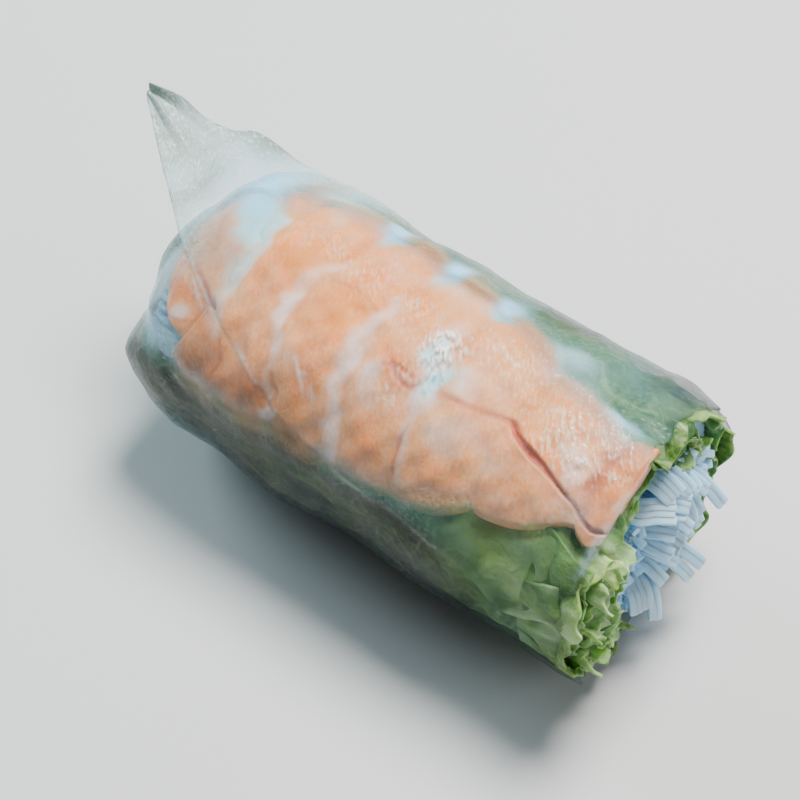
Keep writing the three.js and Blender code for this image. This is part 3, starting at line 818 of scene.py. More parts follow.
def ear_shell():
    """The corner of the film's outer layer, which leaves the roll over its shoulder to a tip."""
    along = np.linspace(-14.5, EAR_TIP_X, 90)[:, None]
    across = np.linspace(0, 1, 64)
    back, front = (
        np.stack([np.interp(-along, -line[:, 0], line[:, k]) for k in range(3)], -1)
        for line in (curve(EAR_BACK, 400), curve(EAR_FRONT, 400))
    )
    seam = np.interp(along, SEAM_X, SEAM_DEG)
    degrees = mix(mix(38, 44, smooth(along, -20, -31)), seam, across)
    body = skin(np.maximum(along, SHOULDER_X), degrees)
    body[..., 0] = along
    out = np.clip((along - EAR_ROOT_X) / (EAR_TIP_X - EAR_ROOT_X), 0, 1)
    free = mix(back, front, across[:, None])
    free[..., 2] += EAR_ARCH * (1 - out) ** 1.15 * 4 * across * (1 - across)
    places = mix(body, free, smooth(-along, 19, 34)[..., None])
    free_share = smooth(-along, 22, 33) + 0 * across

    wave = 0.55 * ripples(31, 7, places) + 0.18 * ripples(32, 2.6, places)
    pleat = 0.9 * thin(across - 0.28 - 0.3 * out, 0.10) - 0.7 * thin(across - 0.72, 0.12)
    curl = 1.6 * smooth(across, 0.25, 0.0) * smooth(out, 0.45, 0.9)
    middle = places.copy()
    middle[..., 2] += free_share * (wave + pleat * (1 - 0.5 * out) + curl)
    outward = np.cross(np.gradient(middle, axis=0), np.gradient(middle, axis=1))
    outward /= np.linalg.norm(outward, axis=-1)[..., None]
    outward *= np.sign(outward[..., 2:3])
    root = smooth(along, -14.5, -17.5)
    to_edge = np.minimum(across, 1 - across)
    relief = film_relief(np.maximum(along, -26), degrees) * (1 - free_share)
    thick = mix(0.62, 0.42, smooth(out, 0.3, 1)) * mix(0.35, 1, smooth(to_edge, 0, 0.02))
    top = middle + outward * (mix(-0.25, 0.22, root) + relief)[..., None]
    bottom = top - outward * thick[..., None]

    edge = 1 - smooth(to_edge * mix(40, 3, out), 0, 0.5)
    back_edge = 1 - smooth(across, 0.0, 0.3)
    milk = mix(0.04, 0.50, smooth(-along, 22, 33)) + 0.12 * smooth(out, 0.8, 1) + 0.16 * edge
    milk = np.clip(milk + 0.12 * back_edge * free_share, 0, 0.9) * root
    milk = milk + 0.05 * ripples(33, 4, places) * free_share
    shade = 0.27 + 0.12 * back_edge + 0.12 * edge + 0.07 * ripples(34, 6, places)
    return sheet(top, bottom, {
        "milk": (milk, milk * 0.8),
        "shade": mix(0.1, np.clip(shade, 0, 1), free_share),
        "line": 0.12 * free_share,
        "pearl_and_sheen": spots(SHEEN, along, degrees) * (1 - free_share),
        # Painted glints over the ear's free part.
        "blush": 0 * milk, "lime": 0 * milk, "painted_sparkle": 0.3 * free_share,
        "chart": places_chart(along, degrees),
    })


class FilmOperator(bpy.types.Operator):
    """Wraps the film round the filling, with its ear at the closed end"""

    bl_idname = "rice_roll.film"
    bl_label = "Rice paper"

    def execute(self, context):
        sizes = context.scene.roll_sizes
        finish = film_finish(context.scene.roll_colours)
        make_piece("film", [film_shell(sizes)], finish, "rice_paper")
        make_piece("film_ear", [ear_shell()], finish, "rice_paper")
        return {"FINISHED"}


# Prawns --------

ORANGE_SPOTS = (
    (-10.5, 96, 3.6, 5, 1), (0.5, 84, 4, 4.6, 0.75), (0, 110, 5, 6.2, 1), (1.6, 97, 3.6, 3.4, 0.9),
    (12.2, 112.5, 3.4, 2.1, 1, -12), (12, 88, 4, 4.4, 0.4), (23.5, 79, 4.6, 3.4, 0.8),
    (25, 114, 4.8, 1.6, 0.5), (33, 127, 6.6, 3, 0.45, -6), (34, 91, 4.6, 3.4, 0.6),
    (43, 106, 2, 8, 1), (-9, 93, 3.4, 4, 1), (9.5, 112, 2.6, 3, 0.6), (36, 103, 4.4, 4, 0.6),
    (-9.5, 128, 5.6, 4, 0.6), (-23.4, 136, 1.6, 3.6, 1), (-20, 130, 4, 1.4, 0.8, -10),
    (-17, 137, 2.4, 2.6, 0.7), (-15, 150, 4, 4.5, 0.9), (-6.5, 148, 4.5, 3.6, 0.9),
    (1.4, 137, 3.6, 5, 0.7), (12.5, 141, 3.8, 6, 0.6), (17, 138, 0.8, 2.4, 0.9),
    (24, 137, 5, 5, 0.5), (-17.5, 66, 2.2, 6, 0.7),
)
ORANGE_LINES = (
    ((-9, 52, 1.4, 0.6), (-7, 60, 1.3, 0.9), (-5, 70, 1.2, 1), (-4.4, 78, 1.1, 1),
     (-5.6, 85, 1.2, 0.9), (-8, 92, 1.3, 0.8), (-11, 99, 1.2, 0.7)),
    ((3, 60, 1, 0.6), (4.6, 70, 1, 0.9), (6, 80, 1, 0.9), (5.4, 88, 1.1, 0.8), (3.5, 94, 1, 0.5)),
    ((29, 106.4, 0.6, 0.5), (32, 109.6, 0.8, 0.9), (35, 112.6, 0.9, 1), (38, 116.4, 0.7, 0.9)),
    ((25.8, 69, 0.9, 0.5), (27.3, 75, 0.9, 0.9), (27.6, 82, 0.9, 0.9), (26.8, 88, 0.9, 0.5)),
)
# Brown marks; those low on the front, past about 140 degrees, are painted shade.
BROWN_AND_SHADE_SPOTS = (
    (-16, 154, 3, 4.4, 1), (-6.5, 156, 4.4, 3.4, 0.9), (3.5, 158, 3.6, 2.2, 0.8),
    (12.6, 157, 3.6, 2, 0.5), (23.5, 152, 4, 2.6, 0.4), (-17.5, 65, 1.6, 6, 0.35),
    (-25, 136, 0.9, 3, 0.6), (-4, 146, 1.6, 1.6, 0.6), (44.6, 110, 2.6, 10, 0.45),
    (30.5, 118, 3, 1.6, 0.4, 20), (-11, 110, 2.6, 4.4, 0.4), (25, 105, 3.4, 2, 0.25),
    (12, 114, 3.2, 1.6, 0.25), (28, 142, 5, 1.6, 0.7), (5.8, 112, 0.9, 2.2, 0.5),
    (-16.4, 102, 1, 5, 0.35), (12.5, 145, 3.6, 2, 0.35),
)
YELLOW_SPOTS = (
    (1.3, 110, 1.7, 1.3, 1), (0, 104, 4.4, 3.4, 0.75), (-1, 116, 3.6, 2.4, 0.6),
    (-9, 94, 3.4, 4, 0.8), (-7.5, 104, 1.6, 3, 0.3), (2, 95, 3, 2.4, 0.5), (-8, 66, 1.6, 3, 0.6),
    (24, 78, 3.2, 2, 0.85), (22.5, 72, 2.5, 2, 0.5), (-6, 84, 2.5, 3, 0.3), (33, 92, 4, 3, 0.3),
    (10, 86, 4, 4, 0.3), (15, 82, 4, 4, 0.25),
)
WHITE_SPOTS = (
    (14, 76, 5, 2.4, 0.45), (1, 77, 3, 1.8, 0.3), (26, 118, 4, 1.6, 0.3), (-3, 132, 1.6, 2, 0.4),
    (-16.4, 104, 1.5, 6, 0.4), (-11, 71, 3, 2.6, 0.35), (33.5, 86, 3, 2.4, 0.4),
    (22, 94, 3, 2, 0.25), (-21, 137.5, 1.3, 1.5, 1), (-2.8, 154, 1.3, 2.2, 1, 20),
    (7.4, 155, 1.6, 2.2, 0.9), (37.6, 106, 2.2, 3, 0.6), (39, 114, 1.6, 1.8, 0.6),
    (20, 107, 3, 2.4, 0.4), (30, 124, 3, 1.6, 0.4), (9.4, 73, 2, 2.2, 0.5),
    (44.6, 128, 1, 3.2, 0.6), (-16.6, 124, 1.3, 5, 0.6), (45, 112, 0.6, 6, 0.6),
    (8.5, 97, 2, 3, 0.25), (21, 104, 3, 2, 0.3), (25, 100, 4, 2, 0.2), (10, 126, 2, 3, 0.4),
    (22, 124, 3.4, 2.6, 0.55), (-27, 100, 2, 5, 0.6), (-25.5, 145, 2.6, 5, 0.9),
    (8.6, 120, 2, 2.4, 0.5),
)
# Pearly flesh, partly a painted bluish sheen where the wet skin mirrors cool light.
PEARL_AND_SHEEN_SPOTS = (
    (-26, 68, 7, 6, 1), (-21, 88, 3.6, 3.6, 1), (-18.8, 96, 2, 3.8, 0.8),
    (-16.8, 88, 1.8, 3.4, 0.6), (-3.2, 62, 2, 3.8, 1, 10), (7.2, 63, 2, 3.8, 1),
    (17.2, 65, 2.2, 4, 1), (-7, 113, 0.6, 2.4, 0.35), (17, 110, 1.5, 2.8, 1),
    (8.6, 120, 1.8, 2.4, 0.3), (15, 98, 1.9, 2.8, 0.75), (19.6, 106, 1.6, 2, 0.35),
    (-16, 112, 1.3, 6, 0.4), (9.4, 73, 1.4, 2, 0.25), (44.4, 129, 1, 2.4, 0.25),
    (-17.4, 110, 1.2, 5, 0.3), (29, 71, 2, 2, 0.5), (-26, 146, 3, 4, 0.5),
)
# Places of wet gloss, where glint strokes are painted on as highlights.
GLEAM_SPOTS = (
    (15.2, 98, 3, 3.6, 1), (35.5, 102, 5, 5.5, 1, -20), (24, 88, 6, 4, 0.7), (8, 92, 3, 3, 0.5),
    (-8, 86, 6, 3, 0.35), (0, 92, 4, 4, 0.4), (42, 100, 3, 4, 0.6), (13, 112, 3, 2, 0.5),
    (12, 124, 4, 3, 0.35), (38.4, 109, 2.4, 3.4, 1), (34.6, 112, 1.8, 0.7, 0.8, 40),
)
# White bands at the joints
WHITE_BANDS = (
    ((-3.4, 86, 0.8, 0.5), (-5.2, 92, 0.9, 0.9), (-6.7, 100, 1, 1), (-7.2, 110, 1, 1),
     (-6.8, 120, 1.2, 0.9), (-5.6, 129, 1.1, 0.7), (-4.4, 137, 0.9, 0.5), (-3.6, 150, 0.9, 0.5)),
    ((6.2, 92, 1.1, 0.5), (5.6, 100, 1.3, 0.85), (5, 110, 1.4, 1), (5.2, 120, 1.4, 1),
     (5.8, 130, 1.4, 0.8), (6.8, 141, 1.2, 0.8), (7.4, 152, 1.4, 0.9), (7.4, 160, 1.4, 0.6)),
    ((14.4, 89, 2, 0.7), (14.8, 98, 2.4, 1), (16.4, 106, 2, 1), (17.2, 114, 1.6, 1),
     (16.8, 122, 1.3, 0.8), (17.2, 130, 1, 0.6), (18.4, 141, 1.2, 0.5), (19, 151, 1.2, 0.5)),
    ((29, 71, 2.2, 0.8), (28.9, 80, 1.6, 0.8), (28.6, 88, 1, 0.4)),
    ((39.8, 86, 1.3, 1), (39.4, 93, 0.9, 0.5), (39.6, 102, 0.7, 0.2), (39.2, 110, 0.6, 0.3)),
    ((-16, 84, 1.2, 0.6), (-15.8, 95, 1.2, 0.6), (-16.4, 106, 1.5, 0.8), (-16.6, 116, 1.5, 0.8),
     (-15.8, 126, 1.3, 0.7), (-14.8, 135, 1.4, 0.6)),
)
RED_LINES = (
    ((19, 113, 0.6, 0.3), (21, 112.4, 0.6, 0.6), (25, 111, 0.6, 0.35), (28.4, 108.6, 0.5, 0.6),
     (29.6, 108.6, 0.6, 0.9), (31.4, 110.6, 0.4, 0.5)),
    ((30, 115, 1.2, 0.2), (35, 119, 1.4, 0.3), (40, 124, 1, 0.3)),
    ((8.6, 108.5, 0.4, 0.3), (10.6, 112, 0.5, 0.4), (12.5, 115.5, 0.5, 0.6), (14.8, 117, 0.5, 0.6),
     (15.6, 114, 0.4, 0.4)),
    ((9.8, 114.5, 0.35, 0.4), (12.2, 112.6, 0.4, 0.6), (14.6, 113.2, 0.35, 0.5)),
    ((-24, 98, 0.6, 0.3), (-21.8, 104, 0.6, 0.5), (-20.8, 111, 0.5, 0.3)),
    ((-22, 119, 0.35, 0.6), (-19, 124, 0.45, 0.9), (-16.6, 129.5, 0.5, 0.9)),
    ((-3.6, 139, 0.35, 0.4), (-2.6, 146, 0.35, 0.5), (-3.4, 151, 0.3, 0.3)),
    ((-13.5, 139, 0.35, 0.4), (-12.6, 148, 0.35, 0.5), (-13.6, 155, 0.35, 0.4)),
    ((17.2, 128, 0.3, 0.3), (17.2, 138, 0.35, 0.6), (17.8, 148, 0.3, 0.3)),
    ((-25, 130, 0.3, 0.5), (-24.6, 138, 0.3, 0.6), (-22, 141, 0.3, 0.5), (-18.6, 138, 0.3, 0.3)),
    ((-4, 98, 0.25, 0.35), (0, 96, 0.25, 0.4), (4.4, 99, 0.25, 0.3)),
    ((42.2, 92, 0.5, 0.3), (41.3, 99, 0.8, 0.55), (41, 108, 0.8, 0.6), (41, 116, 0.7, 0.6),
     (41.4, 123, 0.6, 0.6)),
)
# The cut down the prawn's tail
SLIT = (
    ((29.4, 109, 0.35, 0.9), (30.6, 111, 0.55, 1), (32, 112.8, 0.75, 1), (33.6, 114.5, 0.85, 1),
     (35, 115.8, 0.75, 1), (36.6, 117.3, 0.5, 1), (38.4, 119.4, 0.4, 0.9), (40.2, 121.8, 0.4, 0.9),
     (41.4, 124.4, 0.45, 0.9), (43, 126.4, 0.5, 1), (44.8, 124.8, 0.35, 0.8)),
)
# Marks of the flesh where the roll's cut shows it
CUT_FACE = {"orange": 0.1, "white": 0.75, "pearl_and_sheen": 0.1, "brown_and_shade": 0, "yellow": 0, "red": 0,
            "gleam": 0.3}
PRAWN_THICK, CURL_THICK = 4.6, 3.4


def joint_shade(along, degrees):
    """1 on the dark line just past each joint."""
    across = across_prawn(along, degrees)
    return sum(thin(along - joint_x(number, across) - 0.9, 0.8) for number in range(2, 7))


def prawn_marks(along, degrees):
    """Colour marks of the prawns at places on the roll."""
    places = skin(along, degrees)
    jitter = 1.3 * ripples(41, 3.2, places) + 0.6 * ripples(45, 1.4, places)
    x, deg = along + 0.3 * jitter, degrees + 1.6 * ripples(42, 3.4, places)
    white = np.maximum(spots(WHITE_SPOTS, x, deg), lines(WHITE_BANDS, x, deg))
    orange = np.maximum(spots(ORANGE_SPOTS, x, deg), lines(ORANGE_LINES, x, deg))
    warm = 0.3 + 0.25 * smooth(along, 14, 8) * smooth(degrees, 124, 112)
    brown_and_shade = np.maximum(spots(BROWN_AND_SHADE_SPOTS, x, deg), 0.3 * joint_shade(x, deg))
    slit = smooth(lines(SLIT, along + 0.1 * jitter, degrees), 0.4, 0.8)
    red = np.maximum(lines(RED_LINES, along + 0.15 * jitter, degrees), slit)
    return {
        "orange": np.maximum(orange, warm) * (1 - 0.9 * white),
        "white": white, "pearl_and_sheen": spots(PEARL_AND_SHEEN_SPOTS, x, deg),
        # Painted shade: the brown mark rises from 142 to 158 degrees, low on the front side.
        "brown_and_shade": np.maximum(brown_and_shade, 0.5 * smooth(degrees, 142, 158)),
        "yellow": spots(YELLOW_SPOTS, x, deg), "red": red,
        "gleam": spots(GLEAM_SPOTS, x, deg) * (1 - np.clip(1.5 * red, 0, 1)),
        "chart": places_chart(along, degrees),
    }


def opened_prawn(sizes):
    """The prawn opened flat under the film, with overlapping segments and the cut down its tail."""
    share = np.linspace(0, 1, 230)[:, None]
    across = np.linspace(-1, 1, 120)
    tail = CUT_X - 0.1 - 1.8 * smooth(across, 0.6, 1.0) ** 2
    along = mix(PRAWN_HEAD_X - PRAWN_HEAD_LOBES * across**2, tail, share)
    degrees = prawn_middle(along) + across * (prawn_half(along) + scallop(along))
    marks = prawn_marks(along, degrees)
    at_cut = smooth(along, CUT_X - 0.9, CUT_X - 0.2)
    side = np.abs(across)
    tile = segment(along, across_prawn(along, degrees))
    places = skin(along, degrees)
    sunk = sizes.prawn_tile / MM * (1 - tile) * 0.4 + 0.12 * (1 + ripples(43, 2.2, places))
    sunk = sunk + 0.6 * marks["red"] ** 2
    round_edge = 0.9 * smooth(side, 0.9, 1) + 0.15 * smooth(share, 0.03, 0)
    outside = under_film(sizes, along, degrees) + round_edge + sunk
    crown = np.sqrt(np.clip(1 - side**2, 0, 1)) * smooth(share, 0, 0.12)
    inside = outside + 0.35 + PRAWN_THICK * crown
    for name, value in CUT_FACE.items():
        marks[name] = marks[name], mix(marks[name], value, at_cut)
    return sheet(skin(along, degrees, outside), skin(along, degrees, inside), marks)


def curled_prawn(sizes):
    """The smaller prawn tucked over the shoulder of the closed end."""
    share = np.linspace(0, 1, 70)[:, None]
    across = np.linspace(0, 1, 130)
    degrees = mix(CURL_FIRST - 4, CURL_LAST, across)
    reach = (degrees - prawn_middle(PRAWN_HEAD_X)) / prawn_half(PRAWN_HEAD_X)
    last = PRAWN_HEAD_X - PRAWN_HEAD_LOBES * reach**2 + 2.2
    span = np.sqrt(np.clip(1 - (2 * across - 1) ** 2, 0, 1))
    along = mix(mix(last - 1.5, CURL_X, span), last, share)
    degrees = degrees + 0 * along
    edge = 1.2 * smooth(share, 0.12, 0) + 0.45 * smooth(last - along, 3.0, 1.6)
    lobes = 0.1 * (1 + np.cos(across * 2 * np.pi * 3.5))
    outside = under_film(sizes, along, degrees) + edge + lobes
    inside = outside + 0.5 + CURL_THICK * np.sin(np.pi * share) * (0.3 + 0.7 * span)
    marks = prawn_marks(along, degrees)
    return sheet(skin(along, degrees, outside), skin(along, degrees, inside), marks)


class PrawnOperator(bpy.types.Operator):
    """Lays the opened prawn along the top and the curled one at the closed end"""

    bl_idname = "rice_roll.prawns"
    bl_label = "Prawns"

    def execute(self, context):
        sizes = context.scene.roll_sizes
        finish = prawn_finish(context.scene.roll_colours)
        make_piece("opened_prawn", [opened_prawn(sizes)], finish, "prawn_long")
        make_piece("curled_prawn", [curled_prawn(sizes)], finish, "prawn_short")
        return {"FINISHED"}


# Lettuce --------

# Dark patches of the back leaf
DARK_PATCHES = ((38, 70, 1.6, 7, 1), (44.5, 82, 1.8, 6, 1), (26, 62, 1.4, 4, 0.6, 20))
# Small torn ends of leaf at the cut: degrees, depth at the film side, width in degrees, how far
# they stand out, how much they curl inwards, tone (0 pale to 1 dark) and yellow
SCRAPS = (
    (50, 4.6, 30, 1.6, 1.2, 0.7, 0.5), (64, 3.4, 22, 1.8, 0.8, 0.8, 0.2),
    (74, 2.6, 20, 1.6, 0.5, 1, 0), (84, 2.2, 18, 1, 0.8, 0.75, 0.1),
    (58, 6.4, 22, 2.4, 1, 0.6, 0.3), (36, 4.8, 22, 1.6, 1.2, 0.2, 1),
    (104, 4.4, 34, 0.6, 0.4, 0.9, 0.1), (117, 5.6, 18, 1, 1, 0.85, 0.2),
    (126, 2.6, 16, 1.6, 1.6, 0.6, 0.2), (137, 6, 26, 3.4, 1.6, 0.05, 0.8),
    (148, 3, 32, 1.8, 2.4, 0.4, 0.2), (152, 1.2, 34, 1.2, 0.8, 0.55, 0.15),
    (158, 6.2, 30, 3, 2.6, 0.3, 0.4), (172, 3.8, 44, 2.6, 3.6, 0.35, 0.15),
    (174, 1.4, 40, 1.8, 1.8, 0.5, 0.15), (186, 5.4, 52, 3, 6, 0.25, 0.1),
    (205, 2.4, 58, 2.4, 6.5, 0.4, 0.15), (212, 1.2, 46, 1.6, 1.8, 0.45, 0.15),
    (236, 1.6, 36, 1.6, 1.4, 0.55, 0.3), (226, 4.6, 38, 2.6, 3, 0.5, 0.3),
    (16, 2, 26, 1, 1, 0.5, 0.2), (-8, 2.6, 24, 1.2, 1.2, 0.5, 0.2),
)


def back_tone(along, degrees):
    return 0.58 + 0.25 * smooth(along, 25, 42) + 0.5 * spots(DARK_PATCHES, along, degrees)


# Painted shade: the leaf low on the front is darkened, less so near the cut and towards the closed
# end.
def front_shade_tone(along, degrees):
    near_cut = smooth(along, 22, 30) * smooth(turned(degrees, LOW_FRONT), 0, -15)
    return 1.15 - 1.0 * near_cut - 0.5 * smooth(along, -20, -30)


def pale_tone(along, degrees):
    return 0.1


def leaf_sheet(sizes, seed, side, tuck, last, start, reach, level, tone, frill, rows, columns):
    """A leaf from under a side of the prawn to the last degrees, with a frill out of the cut."""
    thick, crumple = sizes.leaf_thickness / MM, sizes.leaf_crumple / MM
    share = np.linspace(0, 1, rows)[:, None]
    across = np.linspace(0, 1, columns)
    wave = [np.sin(across * turns + seed) for turns in (17, 41, 23)]
    tip = CUT_X + reach * (1 + 0.5 * wave[2] + 0.3 * np.sin(across * 61 + 2 * seed))
    along = mix(start + 2.5 * wave[0] + 1.2 * wave[1], tip, share)
    inner = np.minimum(along, CUT_X)
    first = prawn_half(np.maximum(inner, PRAWN_HEAD_X)) - tuck
    first = prawn_middle(inner) + side * first
    edge = 1.6 * np.sin(along * 0.55 + seed) + np.sin(along * 1.3 + 2 * seed)
    degrees = mix(first + edge, last + 2 * edge, across)
    places = skin(inner, degrees)
    folds = np.abs(ripples(seed + 50, 6.5, places)) * 1.5 - 0.3 * ripples(seed + 51, 3, places)
    under = smooth(across, 0.10, 0.0) + smooth(across, 0.94, 1.0) * 0.4
    depth = level + crumple * np.clip(folds, 0, 1.8) * 0.8 + 1.9 * under
    out = smooth(along, CUT_X - 2.5, CUT_X + 1.5)
    ruffle = 0.8 * ripples(seed + 56, 3.6, places) + 0.3 * ripples(seed + 57, 1.5, places)
    film = under_film(sizes, inner, degrees)
    depth = np.maximum(film + depth + (ruffle - 1.1) * frill * out, film + 0.02)
    rib = thin(ripples(seed + 52, 9, places), 0.07)
    rib = rib + 0.6 * thin(ripples(seed + 53, 4.5, places), 0.08)
    yellow = 0.15 * (1 + ripples(seed + 55, 6, places)) + 0.25 * out
    return sheet(skin(along, degrees, depth), skin(along, degrees, depth + thick), {
        "tone": tone(along, degrees) + 0.25 * ripples(seed + 54, 8, places),
        "rib": np.clip(rib, 0, 1), "yellow": np.clip(yellow, 0, 1),
    })


def scrap(sizes, number, at, depth, width, reach, curl, tone, yellow):
    """A torn end of leaf that stands out of the cut and curls inwards."""
    share = np.linspace(0, 1, 28)[:, None]
    across = np.linspace(-1, 1, 22 + width // 2)
    tip = CUT_X + reach * (1 - 0.3 * across**4 + 0.08 * np.sin(across * width * 0.5 + number))
    along = mix(CUT_X - 6, tip, share)
    out = smooth(along, CUT_X - 3, CUT_X + 2.5)
    taper = mix(1, 0.94 + 0.08 * np.sin(number), share**2)
    degrees = at + across * width / 2 * taper + 3 * np.sin(along * 0.5 + number)
    flat = skin(along, degrees, depth)
    wave = 0.75 * ripples(number + 73, 3.0, flat) + 0.32 * share * ripples(number + 74, 1.2, flat)
    cup = 0.9 * across**2 * np.sin(number * 1.7)
    level = depth + (wave + cup) * mix(0.3, 1.0, out) + curl * out**1.5 * 0.8
    level = np.maximum(level, under_film(sizes, np.minimum(along, CUT_X), degrees) + 0.1)
    thick = sizes.leaf_thickness / MM * mix(1, 0.6, share)
    places = skin(along, degrees, level)
    spread = (across * width * 0.15 + 0.5 * np.sin(share * 5 + number)) / 2.3
    spread = spread + 0.3 * np.sin(number)
    rib = 0.7 * thin(spread - np.round(spread), 0.10)
    rib = rib + 0.8 * thin(ripples(number + 70, 2.6, places), 0.10)
    mottled = 0.5 + 0.5 * ripples(number + 72, 2.5, places)
    return sheet(places, skin(along, degrees, level + thick), {
        "tone": tone + 0.12 + 0.25 * ripples(number + 71, 2.5, places),
        "rib": np.clip(rib * (0.6 - 0.4 * tone), 0, 1), "yellow": np.clip(yellow * mottled, 0, 1),
    })


class LettuceOperator(bpy.types.Operator):
    """Lays the lettuce leaves beside the prawns, with their frills at the cut"""

    bl_idname = "rice_roll.lettuce"
    bl_label = "Lettuce"

    def execute(self, context):
        sizes = context.scene.roll_sizes
        finish = leaf_finish(context.scene.roll_colours)
        scraps = [scrap(sizes, number, *row) for number, row in enumerate(SCRAPS)]
        for place, more, *leaf in (
            ("back", [], 1, -1, 4, -72, -37, 1.5, 0.25, back_tone, 0.9, 160, 150),
            ("front", [], 2, 1, 4, 262, -38, 1.6, 0.25, front_shade_tone, 0.8, 160, 120),
            ("inner", scraps, 3, 1, 0, 226, -20, 2.8, 2.6, pale_tone, 0.9, 130, 90),
        ):
            shells = [leaf_sheet(sizes, *leaf)] + more
            make_piece(f"lettuce_{place}_leaf", shells, finish, f"lettuce_{place}")
        return {"FINISHED"}


# Rice vermicelli --------

# The noodles' part of the cut, from the axis, and the room from one noodle to the next
FACE_Y, FACE_Z, FACE_WIDE, FACE_HIGH = 4.0, -1.0, 10.5, 13.6
NOODLE_PITCH = 1.75
CORE_COLUMNS = 420

# Noodles that hang out of the cut, through points of: out of the cut, Y and Z from the axis
LONG_NOODLES = (
    ((0, 8.6, 7), (2.6, 10, 4.2), (5.4, 12.1, -1.6)),
    ((0, 6.6, 9), (2.2, 7.6, 7.2), (3.8, 8.8, 4.6)),
    ((0, 0.9, 13.5), (1.4, 1.2, 12.6), (2.8, 1.7, 10.8)),
    ((0, 3.2, 12.4), (2, 3.8, 11), (3.4, 4.4, 9)),
    ((0, -3, 10.6), (1.8, -1.2, 10.2), (3.6, 0.6, 9.4)),
    ((0, -1.6, 8.6), (2, 0.4, 8), (4.2, 2.6, 6.8)), ((0, 0.6, 10.6), (2, 2, 9.6), (3.8, 3.8, 8)),
    ((0, 5, 9.6), (1.8, 5.6, 8.6), (3.4, 6, 6.6)), ((0, 6.4, 4.6), (1.8, 6.6, 2.8), (3.4, 6.8, -1)),
    ((0, 4.6, 3.6), (2.2, 4.8, 1.6), (3.8, 5, -2)),
    ((0, 2.8, 4.6), (2.2, 3.6, 3.4), (4.4, 4.6, 1.2)),
    ((0, -1.4, 5.2), (2, -0.2, 4.8), (4, 1.4, 3.8)),
    ((0, 3, -1), (2.6, 4.4, -3.6), (5, 6.2, -7.2), (6, 7.4, -9.8)),
    ((0, 1.6, -2.2), (2.6, 2.8, -5), (4.6, 4.4, -8.6), (5.4, 5.4, -11)),
    ((0, 1.6, 1.6), (2, 2.4, 0.2), (4, 3.6, -2.2)),
    ((0, -0.6, 0.6), (2, 0.4, -0.8), (4.2, 2.2, -3.2)),
    ((0, -1.6, 2.6), (2.4, -0.8, 1.4), (4, 0.6, -0.4)),
    ((0, -1.6, -1.6), (2.2, -1, -3), (4, -0.2, -5.6)),
    ((0, -0.8, -4.2), (2.6, -1.2, -6.4), (4, -1.6, -9.4), (4.6, -1.8, -12.6)),
    ((0, -2.6, -4.8), (2.2, -3, -6.8), (3.2, -3.4, -9.8)),
    ((0, 9.4, -1.6), (2, 10.2, -3.6), (3, 10.8, -6.8)), ((0, 8, 1.6), (2, 8.8, 0), (3.2, 9.6, -3)),
    ((0, 5.6, -4.6), (2.2, 6.2, -6.6), (3.2, 6.6, -9.4)),
)


def noodle(sizes, points, number, pale, rows=7, sides=12):
    """A noodle that comes out of the bundle at the cut, bends and ends bluntly."""
    draw = np.random.default_rng(number + 500)
    points = np.asarray(points, float)
    inside = points[0] * (0, 0.96, 0.98) + (-9, 0, draw.uniform(-0.4, 0.4)), points[0] - (3, 0, 0)
    points = np.concatenate([inside, points])
    points[:, 0] += CUT_X + CUT_LEAN_Y * points[:, 1] + CUT_LEAN_Z * points[:, 2]
    path = curve(points, rows * len(points)) + (0, 0, AXIS_Z)
    ahead = (path[-1] - path[-2]) / np.linalg.norm(path[-1] - path[-2])
    path = np.concatenate([path, path[-1] + ahead * ((0.05,), (0.09,))])
    radii = sizes.noodle_radius / MM * draw.uniform(0.94, 1.04) * np.ones(len(path))
    radii[0] *= 0.6
    flat = draw.uniform(1.15, 1.35)
    return strand(path, radii, flat, sides, {"pale": pale + draw.uniform(-0.12, 0.12)})


def clump(sizes, points, number):
    """Two to four noodles side by side through the given points, with a straight end."""
    draw = np.random.default_rng(number + 300)
    points = np.asarray(points, float)
    count = draw.integers(2, 5)
    aside = np.cross(points[-1] - points[0], BROAD_SIDE)
    aside *= NOODLE_PITCH * sizes.noodle_radius / MM / np.linalg.norm(aside)
    noodles, pale = [], draw.uniform(0.1, 1.0)
    for k in range(count):
        beside = points + aside * (k - (count - 1) / 2)
        beside[-1] += (points[-1] - points[-2]) * draw.uniform(-0.10, 0.08)
        noodles.append(noodle(sizes, beside, 10 * number + k, pale))
    return noodles


def noodle_bundle(sizes):
    """The hanging noodles, and short ones between them wherever there is room."""
    draw = np.random.default_rng(7)
    taken = [points[0][1:] for points in LONG_NOODLES]
    noodles = [n for k, points in enumerate(LONG_NOODLES) for n in clump(sizes, points, k)]
    for _ in range(sizes.noodle_tries):
        turn, out = draw.uniform(0, 2 * np.pi), np.sqrt(draw.uniform())
        y = FACE_Y + FACE_WIDE * out * np.cos(turn)
        z = FACE_Z + FACE_HIGH * out * np.sin(turn)
        if min(np.hypot(y - first, z - second) for first, second in taken) < NOODLE_PITCH * 0.66:
            continue
        taken.append((y, z))
        reach = draw.uniform(0.5, 2.6) * (1.2 - 0.7 * out)
        lean = np.array((reach, 0.06 * y + draw.uniform(-0.6, 0.6), draw.uniform(-1.2, 0.1)))
        points = [(0, y, z) + lean * share for share in (0, (0.5, 0.3, 0.25), 1)]
        noodles.append(noodle(sizes, points, len(taken) + 1000, draw.uniform(0, 1), 4, 10))
    return noodles


